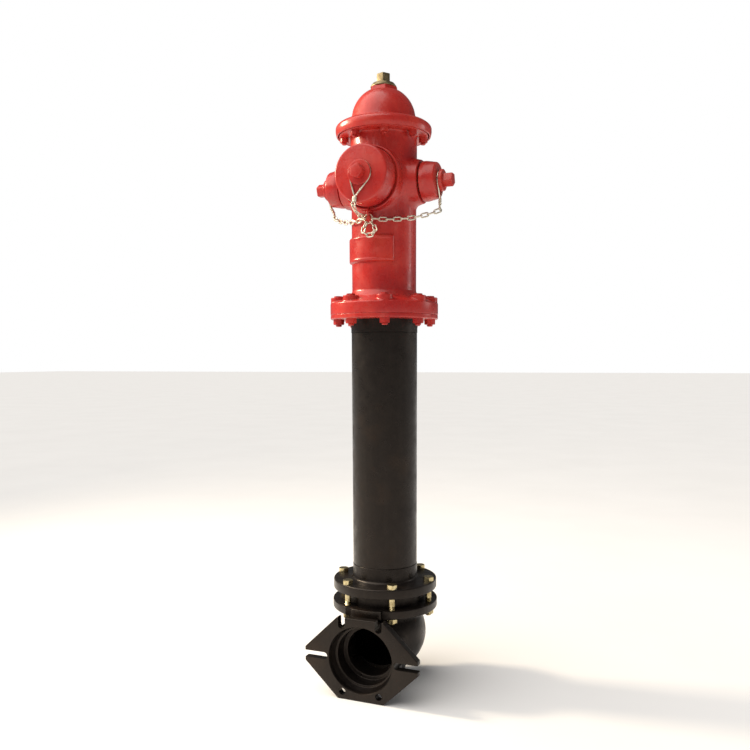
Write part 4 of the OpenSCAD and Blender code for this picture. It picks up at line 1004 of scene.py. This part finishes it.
def chain(node, carrier=None):
    """Welded links in the places of the frame's links; with a carrier, they get no body and their place is
    baked into the mesh.
    """
    links, found = [], links_of(node)
    for place, length, width in found:
        bend, straight = width / 2 - link_wire, (length - width) / 2
        path, thick = [], []
        for end in (1, -1):
            for i in range(13):
                turn = math.pi / 2 - math.pi * i / 12
                path.append((end * (straight + bend * math.cos(turn)), end * bend * math.sin(turn), 0))
                thick.append(1 + 0.16 * abs(math.sin(turn)) ** 3)
            path.append((0, -end * bend, 0))
            thick.append(1.3)
        links.append(settle(wire(node + "_link", path, link_wire, thick, closed=True), place))
    piece = join(links)
    piece.name = node + "_links"
    hand_over(piece, chain_steel, None if carrier else "hydrant", "chain_steel", node, smooth=60)
    if carrier:
        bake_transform(piece)


chain("chain_slack")
chain("chain_pumper", "pumper_carrier")
chain("chain_right", "hose_carrier_right")
chain("chain_left", "hose_carrier_left")

# %% [markdown]
# ## The standpipe's foot flange
# The ductile pipe screws into a cast flange with a long hub. Its top is milled flat round each bolt, so the
# heads sit square even where the fillet reaches them.

# %% Foot flange
foot_z = 309
flange = lathe("foot_flange_casting", rounded([
    (92.6, foot_z), (164.5, foot_z, 2), (164.5, foot_z + 30, 4.5), (102.8, foot_z + 30, 9),
    (102.6, foot_z + 76.9, 1.6), (97.2, foot_z + 76.9), (97.2, foot_z + 46.9), (92.6, foot_z + 46.9)]))
lower_places = circle_of(*shoe_circle)
head_seat_r = 19
for radius, low, high in ((bolt_hole_r, foot_z - 2, foot_z + 32), (head_seat_r, foot_z + 30, foot_z + 45)):
    combine(flange, copies(plug(low, high, radius, steps=40), lower_places), "DIFFERENCE")
hand_over(flange, bitumen, "hydrant", "black_paint", "standpipe_flange")

# %% [markdown]
# ## The shoe
# The shoe turns the water from the buried main up into the standpipe. It is a round valve chamber with a
# flange on top, a bell that points forwards and a slotted plate for the pipe's bolts. The chamber and bell
# are spun, joined over a wide fillet and bored out, and the plate is drawn as a flat outline.

# %% Shoe
mouth = Matrix.Translation((0, 0, 0.128)) @ Matrix.Rotation(quarter, 4, "X")
ball_r, ball_inner_r, ball_z = 131, 116, 161
neck_r, neck_top, shoe_top = 112.7, 246, 272
ball = arc(range(-57, 29, 3), ball_r, middle=(0, ball_z))
foot = rounded([(0, 0), (66, 0, 3), (66, 44, 9), ball[0]], loop=False)
neck = rounded([ball[-1], (neck_r, neck_top, 9), (167, neck_top, 4), (167, shoe_top, 2), (0, shoe_top)],
               loop=False)
shoe = lathe("shoe_casting", [(0, 0)] + foot[1:-1] + ball + neck[1:])


def from_chamber(p):
    """How far a point is outside the valve chamber or its neck."""
    return min(Vector((p.x, p.y, p.z - ball_z)).length - ball_r,
               math.hypot(p.x, p.y) - neck_r if ball_z < p.z < neck_top else 1000.0)


bell_r = 96
bell = lathe("bell", [(0, 40)] + fine(40, 125, 1.8, lambda t: bell_r) +
             rounded([(bell_r, 125), (118, 152, 14), (118, 186, 3)], loop=False)[1:] + [(0, 186)])
flare(bell, mouth, from_chamber, 14, keep=lambda own, along: own < bell_r + 1)
combine(shoe, settle(bell, mouth))


def bolt_slots():
    """Cutters for two holes, two slots that open sideways and two that open upwards."""
    half, low, high = 11.1, 150, 230
    made = []
    for s in (-1, 1):
        for x, y, opening in ((60.3 * s, -104.5, None), (60.3 * s, 104.5, "up"), (120.65 * s, 0, "side")):
            made.append(plate("slot", arc(range(0, 360, 15), half, middle=(x, y)), low, high))
            outlines = {"up": [(x - half, y), (x + half, y), (x + half, 170), (x - half, 170)],
                        "side": [(x, -half), (220 * s, -half), (220 * s, half), (x, half)][::s]}
            if opening:
                made.append(plate("slot", outlines[opening], low, high))
    return made


face = plate("inlet_plate", rounded([
    (-76, -128, 5), (76, -128, 5), (185, -22, 5), (185, 22, 5), (76, 128, 5), (-76, 128, 5), (-185, 22, 5),
    (-185, -22, 5)], steps=4), 182, 206, 2.2)
combine(shoe, settle(face, mouth))
for cutter in bolt_slots():
    combine(shoe, settle(cutter, mouth), "DIFFERENCE")
core = arc(range(-90, 31, 5), ball_inner_r, middle=(0, ball_z))
hollow = lathe("hollow", [(0, 45)] + core[1:] + [(100, 225), (100, 276), (0, 276)], loop=False)
combine(shoe, hollow, "DIFFERENCE")
waterway = lathe("waterway", [(0, 60)] + rounded([
    (0, 60), (76, 60), (76, 128, 3), (89.7, 128, 3), (89.7, 172, 2), (96, 172, 2), (103.5, 189, 3),
    (103.5, 203, 2), (107, 210), (0, 210)], loop=False)[1:], loop=False)
combine(shoe, settle(waterway, mouth), "DIFFERENCE")
combine(shoe, copies(plug(240, 276, bolt_hole_r, steps=40), lower_places), "DIFFERENCE")
hand_over(shoe, bitumen, "hydrant", "black_paint", "shoe")

# %% [markdown]
# ## Finishes for the pieces that keep their shape
# Many pieces are already right as the frame gives them: pipes, seals, plates, screws and inner parts. They
# only need their real finish, which goes into the slots that they already have. What no list names is a
# seal, and becomes rubber.

# %% Dress the frame's own pieces
finish_of = {
    bitumen: ["drain_ring", "standpipe", "standpipe_collar", "lower_valve_plate"],
    bronze_cast: ["seat_ring", "thrust_washer", "seal_plate", "drain_valve", "stem_cap_nut", "pumper_nozzle",
                  "hose_nozzle_right", "hose_nozzle_left", "coupling_pins"],
    plated_bolts: ["nozzle_screws"],
    chain_steel: ["chain_anchor"],
    stem_steel: ["upper_stem", "lower_stem", "stem_coupling"],
}
for mat, names in finish_of.items():
    for name in names:
        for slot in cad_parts[name].material_slots:
            slot.material = mat
        dressed.add(name)
for name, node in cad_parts.items():
    if name not in dressed:
        for slot in node.material_slots:
            slot.material = seal_rubber
print("rubber pieces:", sorted(set(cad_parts) - dressed))
